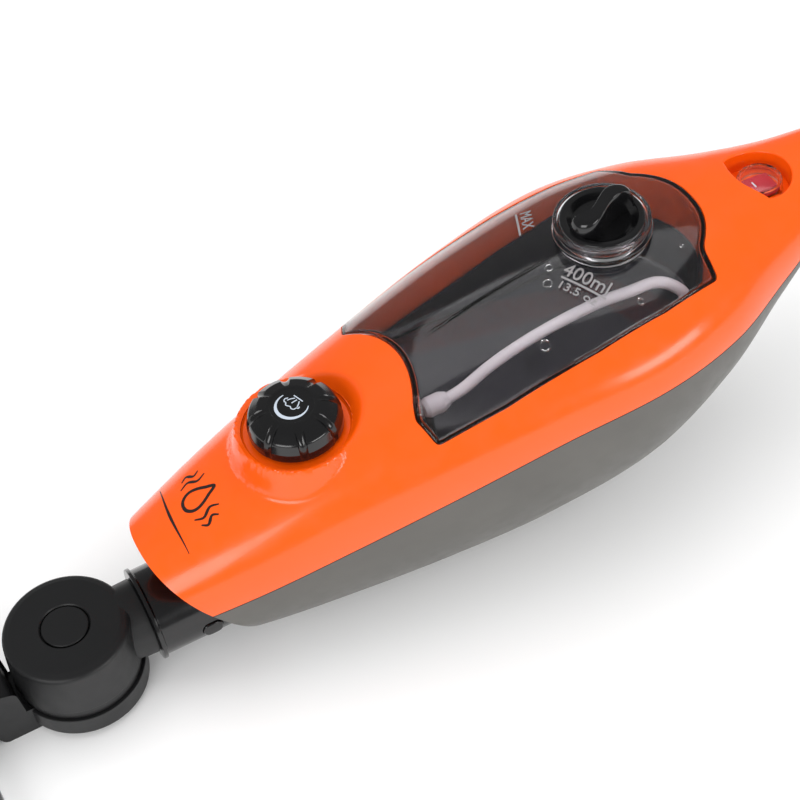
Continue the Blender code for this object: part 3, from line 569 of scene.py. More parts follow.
def over_surface(outline, steps, low, high):
    """A tall form whose wall follows steps of (growth, height above the casing's surface)."""
    rings = [np.c_[grown(outline, steps[0][0]), np.full(len(outline), low)]]
    for growth, rise in steps:
        edge = grown(outline, growth)
        rings.append(np.c_[edge, wall_height(*edge.T) + rise])
    edge = grown(outline, steps[-1][0])
    rings.append(np.c_[edge, np.full(len(edge), high)])
    return lofted(rings)


def rounded_mouth(outline, growth, radius, low, high):
    """A cutter that leaves the rim of an opening rounded by a radius."""
    steps = []
    for k in range(7):
        angle = math.pi / 2 * k / 6
        steps.append((growth + radius * (1 - math.cos(angle)), -radius * (1 - math.sin(angle))))
    steps.append((growth + radius + 0.6, 0.25))
    return over_surface(outline, steps, low, high)


def body_form(inset, start, end, arc=40):
    """A length of the body's form as one solid, shrunk by an inset."""
    xs = np.linspace(start, end, int((end - start) / 4))
    rings = []
    for x in xs:
        width, top, seam, under = (float(v) for v in body_lines(x))
        ring = []
        for k in range(2 * arc):
            angle = math.pi * k / arc
            y = (width - inset) * math.copysign(abs(math.cos(angle)) ** (2 / ROUND), math.cos(angle))
            side = 1 if k <= arc else -1
            height = (top - seam if side > 0 else seam - under) - inset
            rise = height * abs(math.sin(angle)) ** (2 / ROUND) if k % arc else 0
            ring.append((x, y, seam + side * rise))
        rings.append(ring)
    return lofted(rings)


# ---------------------------------------------------------------- casing

def shell_surface(side, inset, arc, fine):
    """Points of one casing half; the front row lies on the slanted mouth, and rows are close at the knob."""
    angles = np.pi * np.arange(arc + 1) / arc
    across = np.sign(np.cos(angles)) * np.abs(np.cos(angles)) ** (2 / ROUND)
    rising = np.abs(np.sin(angles)) ** (2 / ROUND)
    rising[0] = rising[-1] = 0

    def point(x):
        width, top, seam, under = body_lines(x)
        height = (top - seam if side > 0 else seam - under) - inset
        z = seam + side * np.maximum(SEAM_GAP / 2, rising * height)
        return (width - inset) * across, z

    front = np.full(arc + 1, float(MOUTH_X))
    for _ in range(40):
        z = point(front)[1]
        front = 0.5 * front + 0.5 * (MOUTH_X - MOUTH_SLANT * (z - MOUTH_Z))
    upright = -40.0                             # rows stand square to the body from here on
    rows = [front * (1 - t) + upright * t for t in np.linspace(0, 1, int(76 / fine))]
    close = np.arange(upright + fine, -2, fine)
    wide = np.arange(-1.0, GRIP_END, 3.0)
    end = GRIP_END + (HANDLE_END - GRIP_END) * np.sin(np.linspace(0, math.pi / 2, 10))
    rows += [np.full(arc + 1, x) for x in np.concatenate([close, wide, end])]
    out = []
    for row in rows:
        y, z = point(row)
        if side > 0:
            z = knob_form(row, y, z + inset) - inset
        out.append(np.stack([row, y, z], 1))
    return np.array(out)


def casing_half(name, side, material):
    """A shell with a real wall and softly rounded rims."""
    arc, fine = (112, 1.2) if side > 0 else (56, 2.4)
    outer = shell_surface(side, 0.0, arc, fine)
    inner = shell_surface(side, WALL, arc, fine)
    item = make(name, lofted(np.concatenate([outer, inner[:, ::-1]], axis=1)), material)
    step = item.modifiers.new("rims", "BEVEL")
    step.width = 0.45 * MM
    step.segments = 3
    step.limit_method = "ANGLE"
    step.angle_limit = math.radians(55)
    return bake(item)


def smooth_again(item, angle=32):
    """Shade a cut piece smooth, letting its large faces keep their own direction."""
    shade_smooth(item.data, angle)
    step = item.modifiers.new("weighted normals", "WEIGHTED_NORMAL")
    step.keep_sharp = True
    step.weight = 70
    return bake(item)


def upper_casing():
    orange = MATERIALS["orange gloss plastic"]
    item = casing_half("upper_casing", 1, orange)
    outline = tank_outline()
    well = tool(prism(grown(outline, 2.6), TANK_FLOOR - 6, 130))
    cut(well, tool(body_form(0.6, -60, 200)), "INTERSECT")
    cut(item, well, "UNION")
    tub = tool(prism(grown(pocket_outline(), 2.2), SWITCH_FLOOR - 2.2, 130))
    cut(tub, tool(body_form(0.6, 120, 260)), "INTERSECT")
    cut(item, tub, "UNION")
    cut(item, tool(rounded_mouth(outline, 0.1, 0.4, 30, 140)))
    cut(item, tool(rounded_mouth(pocket_outline(), 0.0, 1.0, SWITCH_FLOOR, 140)))
    cut(item, tool(rod(DISH_BORE, 40, 120, 96, at=(KNOB_X, 0, 0))))
    slot = [(SWITCH_X - 8, -6.2), (SWITCH_X + 8, -6.2), (SWITCH_X + 8, 6.2), (SWITCH_X - 8, 6.2)]
    cut(item, tool(prism(eased(slot, 0.8, 3, closed=True), 80, 110)))
    place(smooth_again(item), "main_body", "orange_gloss", "upper_shell")

    seat = KNOB_SEAT
    floor = [(3.9, seat - 3), (3.9, seat - 0.2), (DISH_BORE - 0.8, seat - 0.2, 0.6),
             (DISH_BORE - 0.1, seat + 1.0, 0.1),
             (DISH_BORE - 0.1, seat - 3)]
    dish = make("knob_dish", turned(eased(floor, 0.1, 4, closed=True), 96, at=(KNOB_X, 0, 0), closed=True),
                orange)
    place(dish, "main_body", "orange_gloss")


def lower_casing():
    item = casing_half("lower_casing", -1, MATERIALS["warm grey satin plastic"])
    posts, holes = [], []
    for x, y in BOLTS:
        seam = float(body_lines(x)[2])
        wall = float(wall_height(x, abs(y) + POST_RADIUS, -1)) + WALL / 2
        posts.append(rod(POST_RADIUS, wall, seam - SEAM_GAP / 2, at=(x, y, 0)))
        surface = float(wall_height(x, y, -1))
        seat = surface + min(8.0, (seam - surface) / 2)
        holes.append(turned([(0, -60), (3.4, -60), (3.4, seat), (1.8, seat), (1.8, seam + 5), (0, seam + 5)],
                            24, at=(x, y, 0)))
    cut(item, tool(joined(*posts)), "UNION")
    cut(item, tool(joined(*holes)))
    place(smooth_again(item), "main_body", "grey_satin", "lower_shell")


# ---------------------------------------------------------------- tank

def draft(level):
    """How far the tank's wall has leaned in at a level."""
    return DRAFT * np.clip((DRAFT_TOP - level) / (DRAFT_TOP - TANK_FLOOR), 0, 1)


def drafted(outline, level):
    return grown(outline, -float(draft(level)))


def tank_block(outline, inset, bottom_round, top_round):
    """A closed form between the tank's floor and its crowned top, shrunk by an inset."""
    floor = TANK_FLOOR + inset
    made = []
    for k in range(6):
        angle = math.pi / 2 * k / 5
        level = floor + bottom_round * (1 - math.cos(angle))
        shrink = inset + bottom_round * (1 - math.sin(angle))
        made.append(np.c_[grown(drafted(outline, level), -shrink), np.full(len(outline), level)])
    edge = grown(outline, -inset - 0.6)
    made.append(np.c_[edge, tank_height(*edge.T) - inset - 9])
    for k in range(6):
        angle = math.pi / 2 * k / 5
        edge = grown(outline, -inset - top_round * (1 - math.cos(angle)))
        made.append(np.c_[edge, tank_height(*edge.T) - inset - top_round * (1 - math.sin(angle))])
    centre_line = np.c_[np.clip(outline[:, 0], 14, 138), np.zeros(len(outline))]
    start = grown(outline, -inset - top_round)
    for t in np.linspace(0, 1, 26)[1:]:
        edge = start * (1 - t) + centre_line * t
        made.append(np.c_[edge, tank_height(*edge.T) - inset])
    return lofted(made)


def water_tank():
    clear = MATERIALS["smoked clear plastic"]
    outline = tank_outline(2.0)
    item = make("clear_tank", tank_block(outline, TANK_GAP, 2.5, 0.9), clear)
    neck = [(0, 100), (21.2, 100, 0), (20.8, 110.5, 0.6), (20.8, 111.4, 0.4), (22.0, 112.0, 0.5),
            (22.0, 113.6, 0.6), (20.3, 114.4, 0.5), (20.3, 116.0, 0.4), (21.4, 116.8, 0.5),
            (21.4, NECK_TOP, 0.9), (19.6, NECK_TOP, 0.4), (19.4, 116.5, 0.2), (0, 116.5)]
    cut(item, tool(turned(eased(neck, 0.4, 4), 96, at=(CAP_X, 0, 0))), "UNION")
    cut(item, tool(tank_block(outline, TANK_GAP + TANK_WALL, 3.0, 0.8)))
    bore = [(0, 90), (17, 90), (17, NECK_TOP - 5), (NECK_BORE, NECK_TOP - 5), (NECK_BORE, 130), (0, 130)]
    cut(item, tool(turned(bore, 96, at=(CAP_X, 0, 0))))
    cut(item, tool(rod(SPIGOT_BORE, *SPIGOT_DEPTH, at=(*SPIGOT, 0))))
    place(smooth_again(item, 38), "main_body", "clear_smoke", "water_tank")


def cradle():
    """The dark tray under the tank, with a wall that rises towards the rear."""
    outline = tank_outline(2.4)
    count = len(outline)
    rise = np.clip((outline[:, 0] - 12) / 95, 0, 1)
    edge_height = np.minimum(TANK_FLOOR + 1.5 + 24 * rise ** 1.1, wall_height(*outline.T) - 6)
    outer_low = np.c_[grown(drafted(outline, TANK_FLOOR), 1.6), np.full(count, TANK_FLOOR - 3.3)]
    floor_in = np.c_[grown(drafted(outline, TANK_FLOOR), 0.2), np.full(count, TANK_FLOOR - 0.4)]
    lean = draft(edge_height)

    def at_edge(gap):
        middle = grown(outline, 1.0) - outline
        return outline - middle * lean[:, None] + middle * gap

    top_in = np.c_[at_edge(0.2), edge_height]
    top_out = np.c_[at_edge(1.2), edge_height]
    item = make("tank_tray", lofted([outer_low, top_out, top_in, floor_in]),
                MATERIALS["dark cradle plastic"], auto=40)
    cut(item, tool(rod(SPIGOT_BORE, *SPIGOT_DEPTH, at=(*SPIGOT, 0))))
    place(smooth_again(item), "main_body", "dark_cradle", "tank_cradle")


def intake():
    silicone = MATERIALS["milky silicone"]
    x, y = SPIGOT
    path = [(x, y, TANK_FLOOR + 12.3), (x, y, 76), (x - 3, -30, 87), (117, -25.5, 93.5), (103, -23, 93),
            (90, -19.5, 90.5),
            (72, -16.5, 86), (55, -15, 81.5), (38, -14.5, 76), (25, -14.5, 70), (16.8, -14.5, 68)]
    place(make("feed_hose", tube_along(path, HOSE_RADIUS), silicone), "main_body", "silicone_milky",
          "intake_hose")
    body = [(0, 0), (3.4, 0, 0.8), (4.6, 2, 1.0), (4.6, 9, 1.0), (3.6, 11, 0.8), (3.4, 12), (0, 12)]
    place(make("hose_filter", turned(eased(body, 0.5, 4), 40, "X", FILTER_START), silicone), "main_body",
          "silicone_milky", "intake_filter")


# ---------------------------------------------------------------- cap, knob and switch

def filler_cap():
    black = MATERIALS["gloss black plastic"]
    top = NECK_TOP
    dish = [(0, top - 9), (16.4, top - 9, 0.4), (16.4, top - 4.4, 0.2), (18.6, top - 4.4, 0.4),
            (18.6, top + 0.2, 0.9),
            (17.6, top + 0.8, 0.6), (15.6, top + 0.6, 1.2), (12.5, top - 2.6, 3.0), (0, top - 3.6)]
    item = make("screw_cap", turned(eased(dish, 0.5, 5), 96, at=(CAP_X, 0, 0)), black)
    rings = []
    count = 56
    for k in range(11):
        t = k / 10
        fade = math.cos(t * math.pi / 2) ** 0.55 if t < 1 else 0.04
        ring = []
        for j in range(count):
            angle = 2 * math.pi * j / count
            along = math.cos(angle)
            level = top - 5 + (13.4 + 1.5 * along) * math.sin(t * math.pi / 2)
            reach = 16.3 * along * (0.66 + 0.34 * fade)
            half = (4.6 + 2.4 * along ** 2) * (0.5 + 0.5 * fade)
            sway = 4.0 * math.sin(along * math.pi * 0.9) * (0.7 + 0.3 * fade)
            across = half * math.copysign(abs(math.sin(angle)) ** 0.7, math.sin(angle))
            ring.append((CAP_X + reach, sway + across, level))
        rings.append(ring)
    cut(item, tool(lofted(rings)), "UNION")
    place(smooth_again(item, 45), "cap", "black_gloss", "filler_cap")


def steam_knob():
    black = MATERIALS["gloss black plastic"]
    low, top = KNOB_SEAT + 0.3, KNOB_FACE
    profile = [(0, low), (19.6, low, 0.4), (KNOB_RADIUS, low + 1.5, 0.8), (KNOB_RADIUS, 81.5, 2.0),
               (19.6, 86.3, 3.0), (15.2, 89.6, 3.0), (10.9, top + 0.25, 0.5), (9.9, top + 0.25, 0.2),
               (9.5, top - 0.1, 0.2), (0, top - 0.1)]
    item = make("dial", turned(eased(profile, 0.5, 6), 192, at=(KNOB_X, 0, 0)), black)
    path = [(22.5, 0, 70), (22.4, 0, 79), (21.0, 0, 85.2), (17.2, 0, 89.6), (13.2, 0, 91.9), (10.2, 0, 93.2)]
    for k in range(NOTCHES):
        groove = tube_along(path, NOTCH_RADIUS, spacing=1.2)
        turn = Matrix.Rotation(2 * math.pi * k / NOTCHES + math.radians(NOTCH_TURN), 4, "Z")
        groove.transform(Matrix.Translation((KNOB_X, 0, 0)) @ turn)
        cut(item, tool(groove))
    place(smooth_again(item, 28), "knob", "black_gloss", "steam_knob")
    steam_symbol()


def stroke(points, widths, height, base):
    """A flat printed line of changing width along points in plan."""
    points = np.asarray(points, float)
    chord = np.r_[0, np.cumsum(np.linalg.norm(np.diff(points, axis=0), axis=1))]
    at = np.linspace(0, chord[-1], max(4, int(chord[-1] / 0.35)))
    path = np.stack([smooth_curve(list(zip(chord, points[:, k])))(at) for k in range(2)], 1)
    wide = np.interp(at, np.linspace(0, chord[-1], len(widths)), widths) / 2
    along = np.gradient(path, axis=0)
    along /= np.linalg.norm(along, axis=1)[:, None]
    side = np.c_[-along[:, 1], along[:, 0]] * wide[:, None]
    rings = []
    for left, right in zip(path + side, path - side):
        rings.append([(*left, base), (*right, base), (*right, base + height), (*left, base + height)])
    return lofted(rings)


def steam_symbol():
    """Open ring that thickens to one side, round a nozzle bar, three jets and a cloud's edge."""
    base = KNOB_FACE - 0.14
    sweep = np.radians(np.linspace(96, 326, 40))
    ring = np.c_[7.1 * np.cos(sweep), 7.1 * np.sin(sweep)]
    bar = [(3.1, 4.6), (4.0, 2.2), (4.9, -0.5)]
    jets = ([(2.9, 2.9), (1.3, 3.5), (-0.5, 3.7)], [(3.2, 1.6), (1.9, 1.5), (0.4, 1.2)],
            [(3.6, 0.3), (2.6, -1.0), (1.5, -2.0)])
    cloud = [(0.4, 4.6), (-1.0, 4.9), (-1.9, 3.9), (-1.6, 2.8), (-2.2, 1.6), (-1.5, 0.5), (-0.9, -0.2),
             (-1.1, -1.4),
             (-0.2, -2.4), (1.0, -2.3), (1.6, -3.0), (2.4, -2.4)]
    parts = [stroke(ring, [0.4, 0.9, 1.45, 1.6, 1.3, 0.8, 0.3], 0.1, base)]
    parts += [stroke(line, [0.5, 0.5], 0.1, base) for line in (bar, *jets, cloud)]
    whole = joined(*parts)
    whole.transform(Matrix.Translation((KNOB_X, 0, 0)))
    place(make("steam_print", whole, MATERIALS["pale print"]), "knob")


def power_switch():
    red = MATERIALS["red lens plastic"]
    profile = eased([(-6.8, 0), (0, -0.7), (6.8, 0), (7.0, 3.0, 0.7), (0, 3.9, 8), (-7.0, 4.2, 0.7)], 0.3, 4,
                    closed=True)
    item = make("rocker_key", soft_prism(profile, -5.2, 5.2, 0.6, 3, "XZ"), red)
    item.data.transform(Matrix.Translation((SWITCH_X * MM, 0, SWITCH_FLOOR * MM)))
    place(item, "rocker", "red_lens", "power_rocker")
    stripe = stroke([(0.5, -1.8), (0.5, 1.8)], [0.7, 0.7], 0.12, SWITCH_FLOOR + 4.02)
    stripe.transform(Matrix.Translation((SWITCH_X - 3.4, 0, 0)))
    place(make("on_mark", stripe, MATERIALS["pale print"]), "rocker")
    outer = [(0, 6.4), (8.4, 6.1, 0.8), (9.5, 5.2, 0.6), (9.5, 0.3), (10.4, 0.3, 0.3), (10.4, 6.0, 0.5),
             (10.0, 6.9, 0.4),
             (9.2, 6.9, 0.5), (8.6, 6.9, 0.5), (0, 7.2)]
    cover = make("clear_cover", turned(eased(outer, 0.3, 5), 64, at=(SWITCH_X, 0, SWITCH_FLOOR)),
                 MATERIALS["clear cover plastic"])
    place(cover, "main_body", "clear_smoke", "switch_cover")
    well = [(10.6, -0.1), (13.6, -0.1, 0.4), (13.6, 0.5, 0.3), (11.0, 0.9, 0.3), (10.6, 0.5)]
    trim = turned(eased(well, 0.1, 3, closed=True), 64, at=(SWITCH_X, 0, SWITCH_FLOOR), closed=True)
    place(make("switch_trim", trim, MATERIALS["orange gloss plastic"]), "main_body", "orange_gloss")


# ---------------------------------------------------------------- outlet and knuckle

def outlet():
    gloss = MATERIALS["gloss black plastic"]
    flange = TUBE_RADIUS + 1.3
    profile = [(flange, TUBE_FRONT, 0.5), (flange, TUBE_FRONT + 1.8, 0.5),
               (TUBE_RADIUS, TUBE_FRONT + 2.4, 0.3),
               (TUBE_RADIUS, TUBE_REAR), (TUBE_BORE, TUBE_REAR), (TUBE_BORE, TUBE_FRONT, 0.4)]
    tube = make("outlet_sleeve", turned(eased(profile, 0.1, 3, closed=True), 96, "X", closed=True), gloss)
    pill = rectangle(BUTTON_X, BUTTON_Z, 9.4, 7.4, 3.6)
    cut(tube, tool(prism(grown(pill, 0.35), -30, -10, "XZ")))
    place(smooth_again(tube), "main_body", "black_gloss", "outlet_tube")
    button = make("latch_button", soft_prism(np.array(pill), -21.6, -13.5, 1.0, 4, "XZ"), gloss)
    place(button, "button", "black_gloss", "release_button")


def eye_points(x, radius, start, end, count):
    """Corners of the round eye about the hinge, in side view, between two angles in degrees."""
    angles = np.radians(np.linspace(start, end, count))
    return [(x + radius * math.cos(a), HINGE_Z + radius * math.sin(a), 0) for a in angles]


def knuckle():
    satin = MATERIALS["satin black plastic"]
    at = (PIVOT_X, 0, 0)
    r = DRUM_RADIUS
    drum = eased([(0, HOUSING_BOTTOM), (r, HOUSING_BOTTOM, 0.4), (r - 0.5, 6, 4),
                  (r - 1.2, DRUM_TOP - 1.2, 4.0), (r - 5, DRUM_TOP, 3),
                  (0, DRUM_TOP)], 0.5, 8)
    item = make("knuckle_drum", turned(drum, 128, at=at), satin)
    neck = eased([(0, 8), (17.2, 8), (17.8, 34.2, 0.5), (16.8, 34.2, 0.2), (16.8, 52, 0.5), (0, 52)], 0.3, 4)
    cut(item, tool(turned(neck, 96, "X", at)), "UNION")
    cut(item, tool(rod(r + 2, -60, HOUSING_BOTTOM, 128, at=at)))
    recess = eased([(0, -30), (PIN_BORE, -30), (PIN_BORE, DRUM_TOP - 2.6, 0), (11.2, DRUM_TOP - 2.6, 0),
                    (11.2, DRUM_TOP - 0.6, 0.3),
                    (11.8, DRUM_TOP + 0.1, 0.3), (11.8, 40), (0, 40)], 0.2, 3)
    cut(item, tool(turned(recess, 96, at=at)))
    cut(item, tool(rod(3.2, 18, 60, 32, "X", at)))
    place(smooth_again(item, 40), "main_body", "black_satin", "knuckle_housing")
    cap = eased([(0, DRUM_TOP - 2.3), (10.6, DRUM_TOP - 2.3), (10.6, DRUM_TOP + 0.1, 0.9),
                 (0, DRUM_TOP + 0.35)], 0.5, 5)
    place(make("pin_cover", turned(cap, 96, at=at), satin), "main_body", "black_satin", "pivot_cap")
    ring = eased([(r - 1, BASE_TOP + 0.3, 0.3), (r - 1, HOUSING_BOTTOM - 0.3, 0.3),
                  (PIN_BORE, HOUSING_BOTTOM - 0.3, 0.3),
                  (PIN_BORE, BASE_TOP + 0.3, 0.3)], 0.3, 3, closed=True)
    place(make("swivel_washer", turned(ring, 128, at=at, closed=True), satin), "main_body", "black_satin",
          "knuckle_washer")

    base = eased([(0, BASE_BOTTOM), (r - 2, BASE_BOTTOM, 1.5), (r + 0.5, BASE_BOTTOM + 3, 2),
                  (r + 0.5, BASE_TOP, 0.5),
                  (0, BASE_TOP)], 0.5, 5)
    item = make("swing_base", turned(base, 128, at=at), satin)
    reach = HEAD_X - PIVOT_X
    eye = eye_points(reach, 9, 95, 265, 15)
    arm = [(-20, BASE_BOTTOM + 0.4, 0), (-20, BASE_TOP - 0.2, 0), (-31.2, BASE_TOP - 0.2, 1),
           (-32.6, 2.5, 3), (-46, 7, 14), (-62, 10.5, 14),
           (-82, 12, 14)]
    arm += eye + [(-90, -6.3, 12), (-60, -7.5, 10), (-48, -14, 10), (-42, BASE_BOTTOM + 0.4, 3)]
    side = np.array(eased(arm[::-1], 1.0, 6, closed=True))
    side[:, 0] += PIVOT_X
    cut(item, tool(soft_prism(side, -12, 12, 1.6, 5, "XZ")), "UNION")
    cut(item, tool(rod(PIN_BORE, BASE_BOTTOM + 1.5, 0, 48, at=at)))
    cut(item, tool(rod(3.4, -20, 20, 48, "Y", HINGE)))
    place(smooth_again(item, 40), "swing_arm", "black_satin", "knuckle_base")


# ---------------------------------------------------------------- marks

def laid_on(surface, bm, lift=0.0):
    """Lay a flat form, drawn in plan, on a surface given as heights over the plan."""
    for vert in bm.verts:
        vert.co.z += float(surface(vert.co.x, vert.co.y)) + lift
    return bm


def lettering(text, start, angle, width, height, thickness):
    """A generic level mark in plan, from its lower left corner, running at an angle."""
    curve = bpy.data.curves.new("mark", "FONT")
    curve.body = text
    curve.extrude = 0.5
    curve.resolution_u = 4
    holder = linked("mark", curve)
    mesh = bpy.data.meshes.new_from_object(holder.evaluated_get(bpy.context.evaluated_depsgraph_get()))
    bpy.data.objects.remove(holder, do_unlink=True)
    bpy.data.curves.remove(curve)
    bm = bmesh.new()
    bm.from_mesh(mesh)
    bpy.data.meshes.remove(mesh)
    low = [min(v.co[k] for v in bm.verts) for k in range(3)]
    high = [max(v.co[k] for v in bm.verts) for k in range(3)]
    size = (width, height, thickness)
    for vert in bm.verts:
        vert.co = Vector([(vert.co[k] - low[k]) / (high[k] - low[k]) * size[k] for k in range(3)])
    bm.transform(Matrix.Translation((start[0], start[1], 0)) @ Matrix.Rotation(math.radians(angle), 4, "Z"))
    return bm


def level_marks():
    """Moulded capacity and fill marks on the tank, and its small ejector rings."""
    relief, sunk = 0.32, -0.12
    parts = [
        lettering("400ml", (77.4, -11.2), -60, 21.5, 6.4, relief),
        lettering("13.5 oz", (72.8, -16.3), -60, 17.5, 3.7, relief),
        lettering("MAX", (83.2, 35.3), -113, 14.0, 5.0, relief),
        stroke([(76.6, -12.4), (87.4, -31.1)], [0.8, 0.8], relief, 0),
        stroke([(81.8, 36.5), (74.8, 19.9)], [0.9, 0.9], relief, 0),
    ]
    bm = laid_on(tank_height, joined(*parts), sunk)
    place(make("level_marks", bm, MATERIALS["mark relief"]), "main_body", "clear_smoke")
    rings = []
    for x, y, size in ((74.7, -5.1, 1.9), (70.1, -12.0, 2.2), (100.2, -38.5, 1.5), (140.8, 18.0, 1.2),
                       (55.0, -35.0, 2.3),
                       (-2.6, -28.5, 1.7), (130, -24, 1.0)):
        ring = [(size, 0), (size, 0.3), (size - 0.45, 0.3), (size - 0.45, 0)]
        rings.append(turned(ring, 28, at=(x, y, 0), closed=True))
    bm = laid_on(tank_height, joined(*rings), sunk)
    place(make("ejector_rings", bm, MATERIALS["clear cover plastic"]), "main_body", "clear_smoke")


def front_emblem():
    """A plain drop with steam wisps and a rule, printed in front of the knob."""
    ink = 0.08
    drop = [(0, -8.0), (2.4, -7.4), (4.4, -5.4), (5.0, -2.8), (4.2, 0.2), (2.2, 3.8), (0, 7.4), (-2.2, 3.8),
            (-4.2, 0.2),
            (-5.0, -2.8), (-4.4, -5.4), (-2.4, -7.4), (0, -8.0)]
    parts = [stroke(drop, [1.5, 1.5], ink, 0)]
    for side in (-1, 1):
        for reach, height in ((9.0, 6.0), (13.0, 4.2)):
            wisp = [(side * reach, -height), (side * (reach + 1.6), -height / 3),
                    (side * (reach - 1.0), height / 3),
                    (side * (reach + 0.4), height)]
            parts.append(stroke(wisp, [0.6, 1.5, 0.6], ink, 0))
    parts.append(stroke([(-20, -13.5), (0, -14.6), (20, -13.5)], [0.3, 1.3, 0.3], ink, 0))
    whole = joined(*parts)
    whole.transform(Matrix.Translation((-97.5, 2.0, 0)) @ Matrix.Rotation(math.radians(-94), 4, "Z"))
    place(make("front_emblem", laid_on(wall_height, whole, 0.02), MATERIALS["dark print"]), "main_body")


# ---------------------------------------------------------------- repeated pieces

def repeated(name, points, template, material):
    """Copies of a template on points, laid out by Geometry Nodes and returned as a plain mesh object."""
    tree = bpy.data.node_groups.new(name + " layout", "GeometryNodeTree")
    sockets = {}
    for label, kind in (("Points", "Geometry"), ("Copy", "Object")):
        sockets[label] = tree.interface.new_socket(label, in_out="INPUT",
                                                   socket_type="NodeSocket" + kind).identifier
    tree.interface.new_socket("Pieces", in_out="OUTPUT", socket_type="NodeSocketGeometry")
    nodes, links = tree.nodes, tree.links
    source, sink = nodes.new("NodeGroupInput"), nodes.new("NodeGroupOutput")
    places = nodes.new("GeometryNodeMeshToPoints")
    info = nodes.new("GeometryNodeObjectInfo")
    copies = nodes.new("GeometryNodeInstanceOnPoints")
    real = nodes.new("GeometryNodeRealizeInstances")
    finish = nodes.new("GeometryNodeSetMaterial")
    finish.inputs["Material"].default_value = material
    links.new(source.outputs["Points"], places.inputs["Mesh"])
    links.new(source.outputs["Copy"], info.inputs["Object"])
    links.new(places.outputs["Points"], copies.inputs["Points"])
    links.new(info.outputs["Geometry"], copies.inputs["Instance"])
    links.new(copies.outputs["Instances"], real.inputs["Geometry"])
    links.new(real.outputs["Geometry"], finish.inputs["Geometry"])
    links.new(finish.outputs["Geometry"], sink.inputs["Pieces"])

    shape = bpy.data.meshes.new("template")
    template.transform(Matrix.Scale(MM, 4))
    bmesh.ops.recalc_face_normals(template, faces=template.faces)
    template.to_mesh(shape)
    template.free()
    copy = linked("template", shape)
    mesh = bpy.data.meshes.new(name)
    mesh.from_pydata([TO_FRAME @ Vector(p) for p in points], [], [])
    item = linked(name, mesh)
    layout = item.modifiers.new("layout", "NODES")
    layout.node_group = tree
    layout[sockets["Copy"]] = copy
    bake(item)
    bpy.data.objects.remove(copy, do_unlink=True)
    item.data.materials.clear()
    item.data.materials.append(material)
    shade_smooth(item.data, 35)
    return item


def screw_template():
    """A plain pan-head screw, head down."""
    screw = eased([(0, 0), (2.6, 0, 0.9), (2.9, 1.0, 0.4), (2.9, 2.2), (1.5, 2.2), (1.5, 22), (0, 22)], 0.3,
                  4)
    return turned(screw, 24)


def case_screws():
    for number, (x, y) in enumerate(BOLTS, 1):
        low = (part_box(f"case_screw_{number}")[0].z - DATUM.z) / MM
        item = repeated(f"screw_{number}", [(x, y, low)], screw_template(), MATERIALS["plated steel"])
        place(item, "main_body", "steel", f"case_screw_{number}")


# ---------------------------------------------------------------- steam head

def steam_head():
    satin = MATERIALS["satin black plastic"]
    outline = np.array(rectangle(HEAD_X, 0, HEAD_LENGTH, HEAD_WIDTH, 16, 12))
    plate = make("steam_plate", soft_prism(outline, FLOOR_Z, FLOOR_Z + 6, 1.4, 5),
                 MATERIALS["cast aluminium"])
    spots = [(HEAD_X + x, y, FLOOR_Z) for x in (-32, 0, 32) for y in range(-75, 76, 30)]
    hole = turned(eased([(0, -1), (2.6, -1, 0), (2.6, 0.0, 0), (1.7, 0.9, 0.3), (1.7, 7), (0, 7)], 0.1, 2),
                  20)
    holes = repeated("hole_cutters", spots, hole, MATERIALS["cast aluminium"])
    cut(plate, holes)
    place(smooth_again(plate), "head", "cast_aluminium", "sole_plate")

    form = []
    for inset, level in ((0, -19.0), (0, -14.5), (0.6, -12.6), (2.0, -11.2), (4.5, -10.2), (8.0, -9.7),
                         (14.0, -9.5)):
        length, width = (side - 2 * (HEAD_MARGIN + inset) for side in (HEAD_LENGTH, HEAD_WIDTH))
        form.append(at_level(rectangle(HEAD_X, 0, length, width, max(4, 15 - inset * 0.4), 10), level))
    cover = make("head_shell", lofted(form), satin)
    ribs = repeated("rib_bars", [(HEAD_X, y, -10.6) for y in (-88, -80, -72, -64, 64, 72, 80, 88)],
                    soft_prism(np.array(rectangle(0, 0, 84, 3.0, 1.4, 5)), 0, 2.1, 0.6, 3), satin)
    cut(cover, ribs, "UNION")
    for side in (-1, 1):
        eye = eye_points(HEAD_X, 8, -20, 200, 19)
        outline = np.array(eased([(HEAD_X - 15, -12, 0), (HEAD_X + 15, -12, 0), (HEAD_X + 10.5, -7, 4)] + eye
                                 + [(HEAD_X - 10.5, -7, 4)], 1.0, 5, closed=True))
        near, far = sorted((side * 12.6, side * 18.9))
        cut(cover, tool(soft_prism(outline, near, far, 0.8, 3, "XZ")), "UNION")
    cut(cover, tool(rod(3.3, -25, 25, 32, "Y", HINGE)))
    place(smooth_again(cover), "head", "black_satin", "head_cover")
    pin = eased([(0, -19.0), (3.1, -19.0, 0.6), (3.1, 19.0, 0.6), (0, 19.0)], 0.3, 3)
    place(make("plate_pin", turned(pin, 32, "Y", HINGE), MATERIALS["plated steel"]), "head", "steel",
          "head_pin")


# ---------------------------------------------------------------- stage

OPEN_LIGHT, MIRRORED_LIGHT, INNER_LIGHT = 0.86, 0.24, 1.8
CAMERA_DISTANCE, CAMERA_HEIGHT = 0.880, 0.06264         # metres; the height is the aim's, over the datum

def stage():
    bpy.ops.mesh.primitive_plane_add(size=12)
    floor = bpy.context.object
    floor.name = "floor"
    floor.data.materials.append(MATERIALS["floor"])


def light(name, position, size, power):
    """A soft rectangular lamp that faces the body."""
    lamp = bpy.data.lights.new(name, "AREA")
    lamp.shape = "RECTANGLE"
    lamp.size, lamp.size_y = size
    lamp.energy = power
    item = linked(name, lamp)
    item.location = position
    item.rotation_euler = (Vector((0, 0, 0.05)) - Vector(position)).to_track_quat("-Z", "Y").to_euler()
    return item


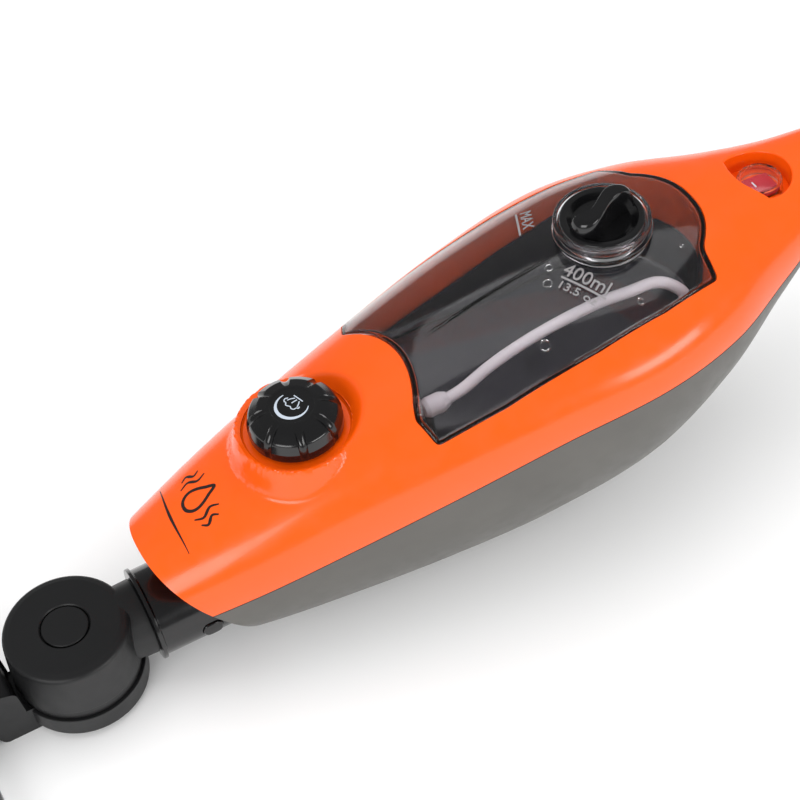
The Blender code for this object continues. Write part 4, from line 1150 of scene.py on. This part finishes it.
def studio():
    """White surroundings: dimmer where they are mirrored, brighter on what lies inside the clear tank."""
    world = bpy.data.worlds.new("studio")
    world.use_nodes = True
    nodes, links = world.node_tree.nodes, world.node_tree.links
    background = nodes["Background"]
    background.inputs["Color"].default_value = (1, 1, 1, 1)
    path = nodes.new("ShaderNodeLightPath").outputs

    def sums(operation, *values):
        """One step of arithmetic on sockets and numbers."""
        item = nodes.new("ShaderNodeMath")
        item.operation, item.use_clamp = operation, operation == "SUBTRACT"
        for socket, value in zip(item.inputs, values):
            if isinstance(value, (int, float)):
                socket.default_value = value
            else:
                links.new(value, socket)
        return item.outputs[0]

    scattered = sums("MINIMUM", path["Diffuse Depth"], 1)
    mirrored = sums("SUBTRACT", sums("MAXIMUM", path["Is Glossy Ray"], path["Is Transmission Ray"]),
                    scattered)
    strength = sums("MULTIPLY_ADD", mirrored, MIRRORED_LIGHT - OPEN_LIGHT, OPEN_LIGHT)
    within = sums("MULTIPLY", scattered, path["Is Transmission Ray"])
    links.new(sums("MULTIPLY_ADD", within, INNER_LIGHT, strength), background.inputs["Strength"])
    bpy.context.scene.world = world
    bpy.context.scene.view_settings.view_transform = "Standard"
    light("overhead", (0.2, 0.4, 1.5), (1.6, 1.2), 10).visible_glossy = False
    light("front left", (-1.2, -0.9, 0.75), (0.9, 0.7), 8)
    light("front right", (0.6, -1.4, 0.6), (0.9, 0.35), 6)


def camera():
    lens = bpy.data.cameras.new("camera")
    lens.lens = 90
    lens.sensor_width = 36
    lens.clip_start = 0.01
    item = linked("camera", lens)
    azimuth, elevation, roll = math.radians(-21.3), math.radians(49.4), math.radians(-8.3)
    back = Vector((math.sin(azimuth) * math.cos(elevation), -math.cos(azimuth) * math.cos(elevation),
                   math.sin(elevation)))
    right = Vector((math.cos(azimuth), math.sin(azimuth), 0))
    up = back.cross(right)
    tilted_right = math.cos(roll) * right + math.sin(roll) * up
    tilted_up = -math.sin(roll) * right + math.cos(roll) * up
    turn = Matrix((tilted_right, tilted_up, back)).transposed().to_4x4()
    target = DATUM + Vector((0, 0, CAMERA_HEIGHT))
    item.matrix_world = Matrix.Translation(target + back * CAMERA_DISTANCE) @ turn
    bpy.context.scene.camera = item


build_materials()
stage()
studio()
camera()
dress_cad_nodes()
upper_casing()
lower_casing()
water_tank()
cradle()
intake()
filler_cap()
steam_knob()
power_switch()
outlet()
knuckle()
level_marks()
front_emblem()
case_screws()
steam_head()
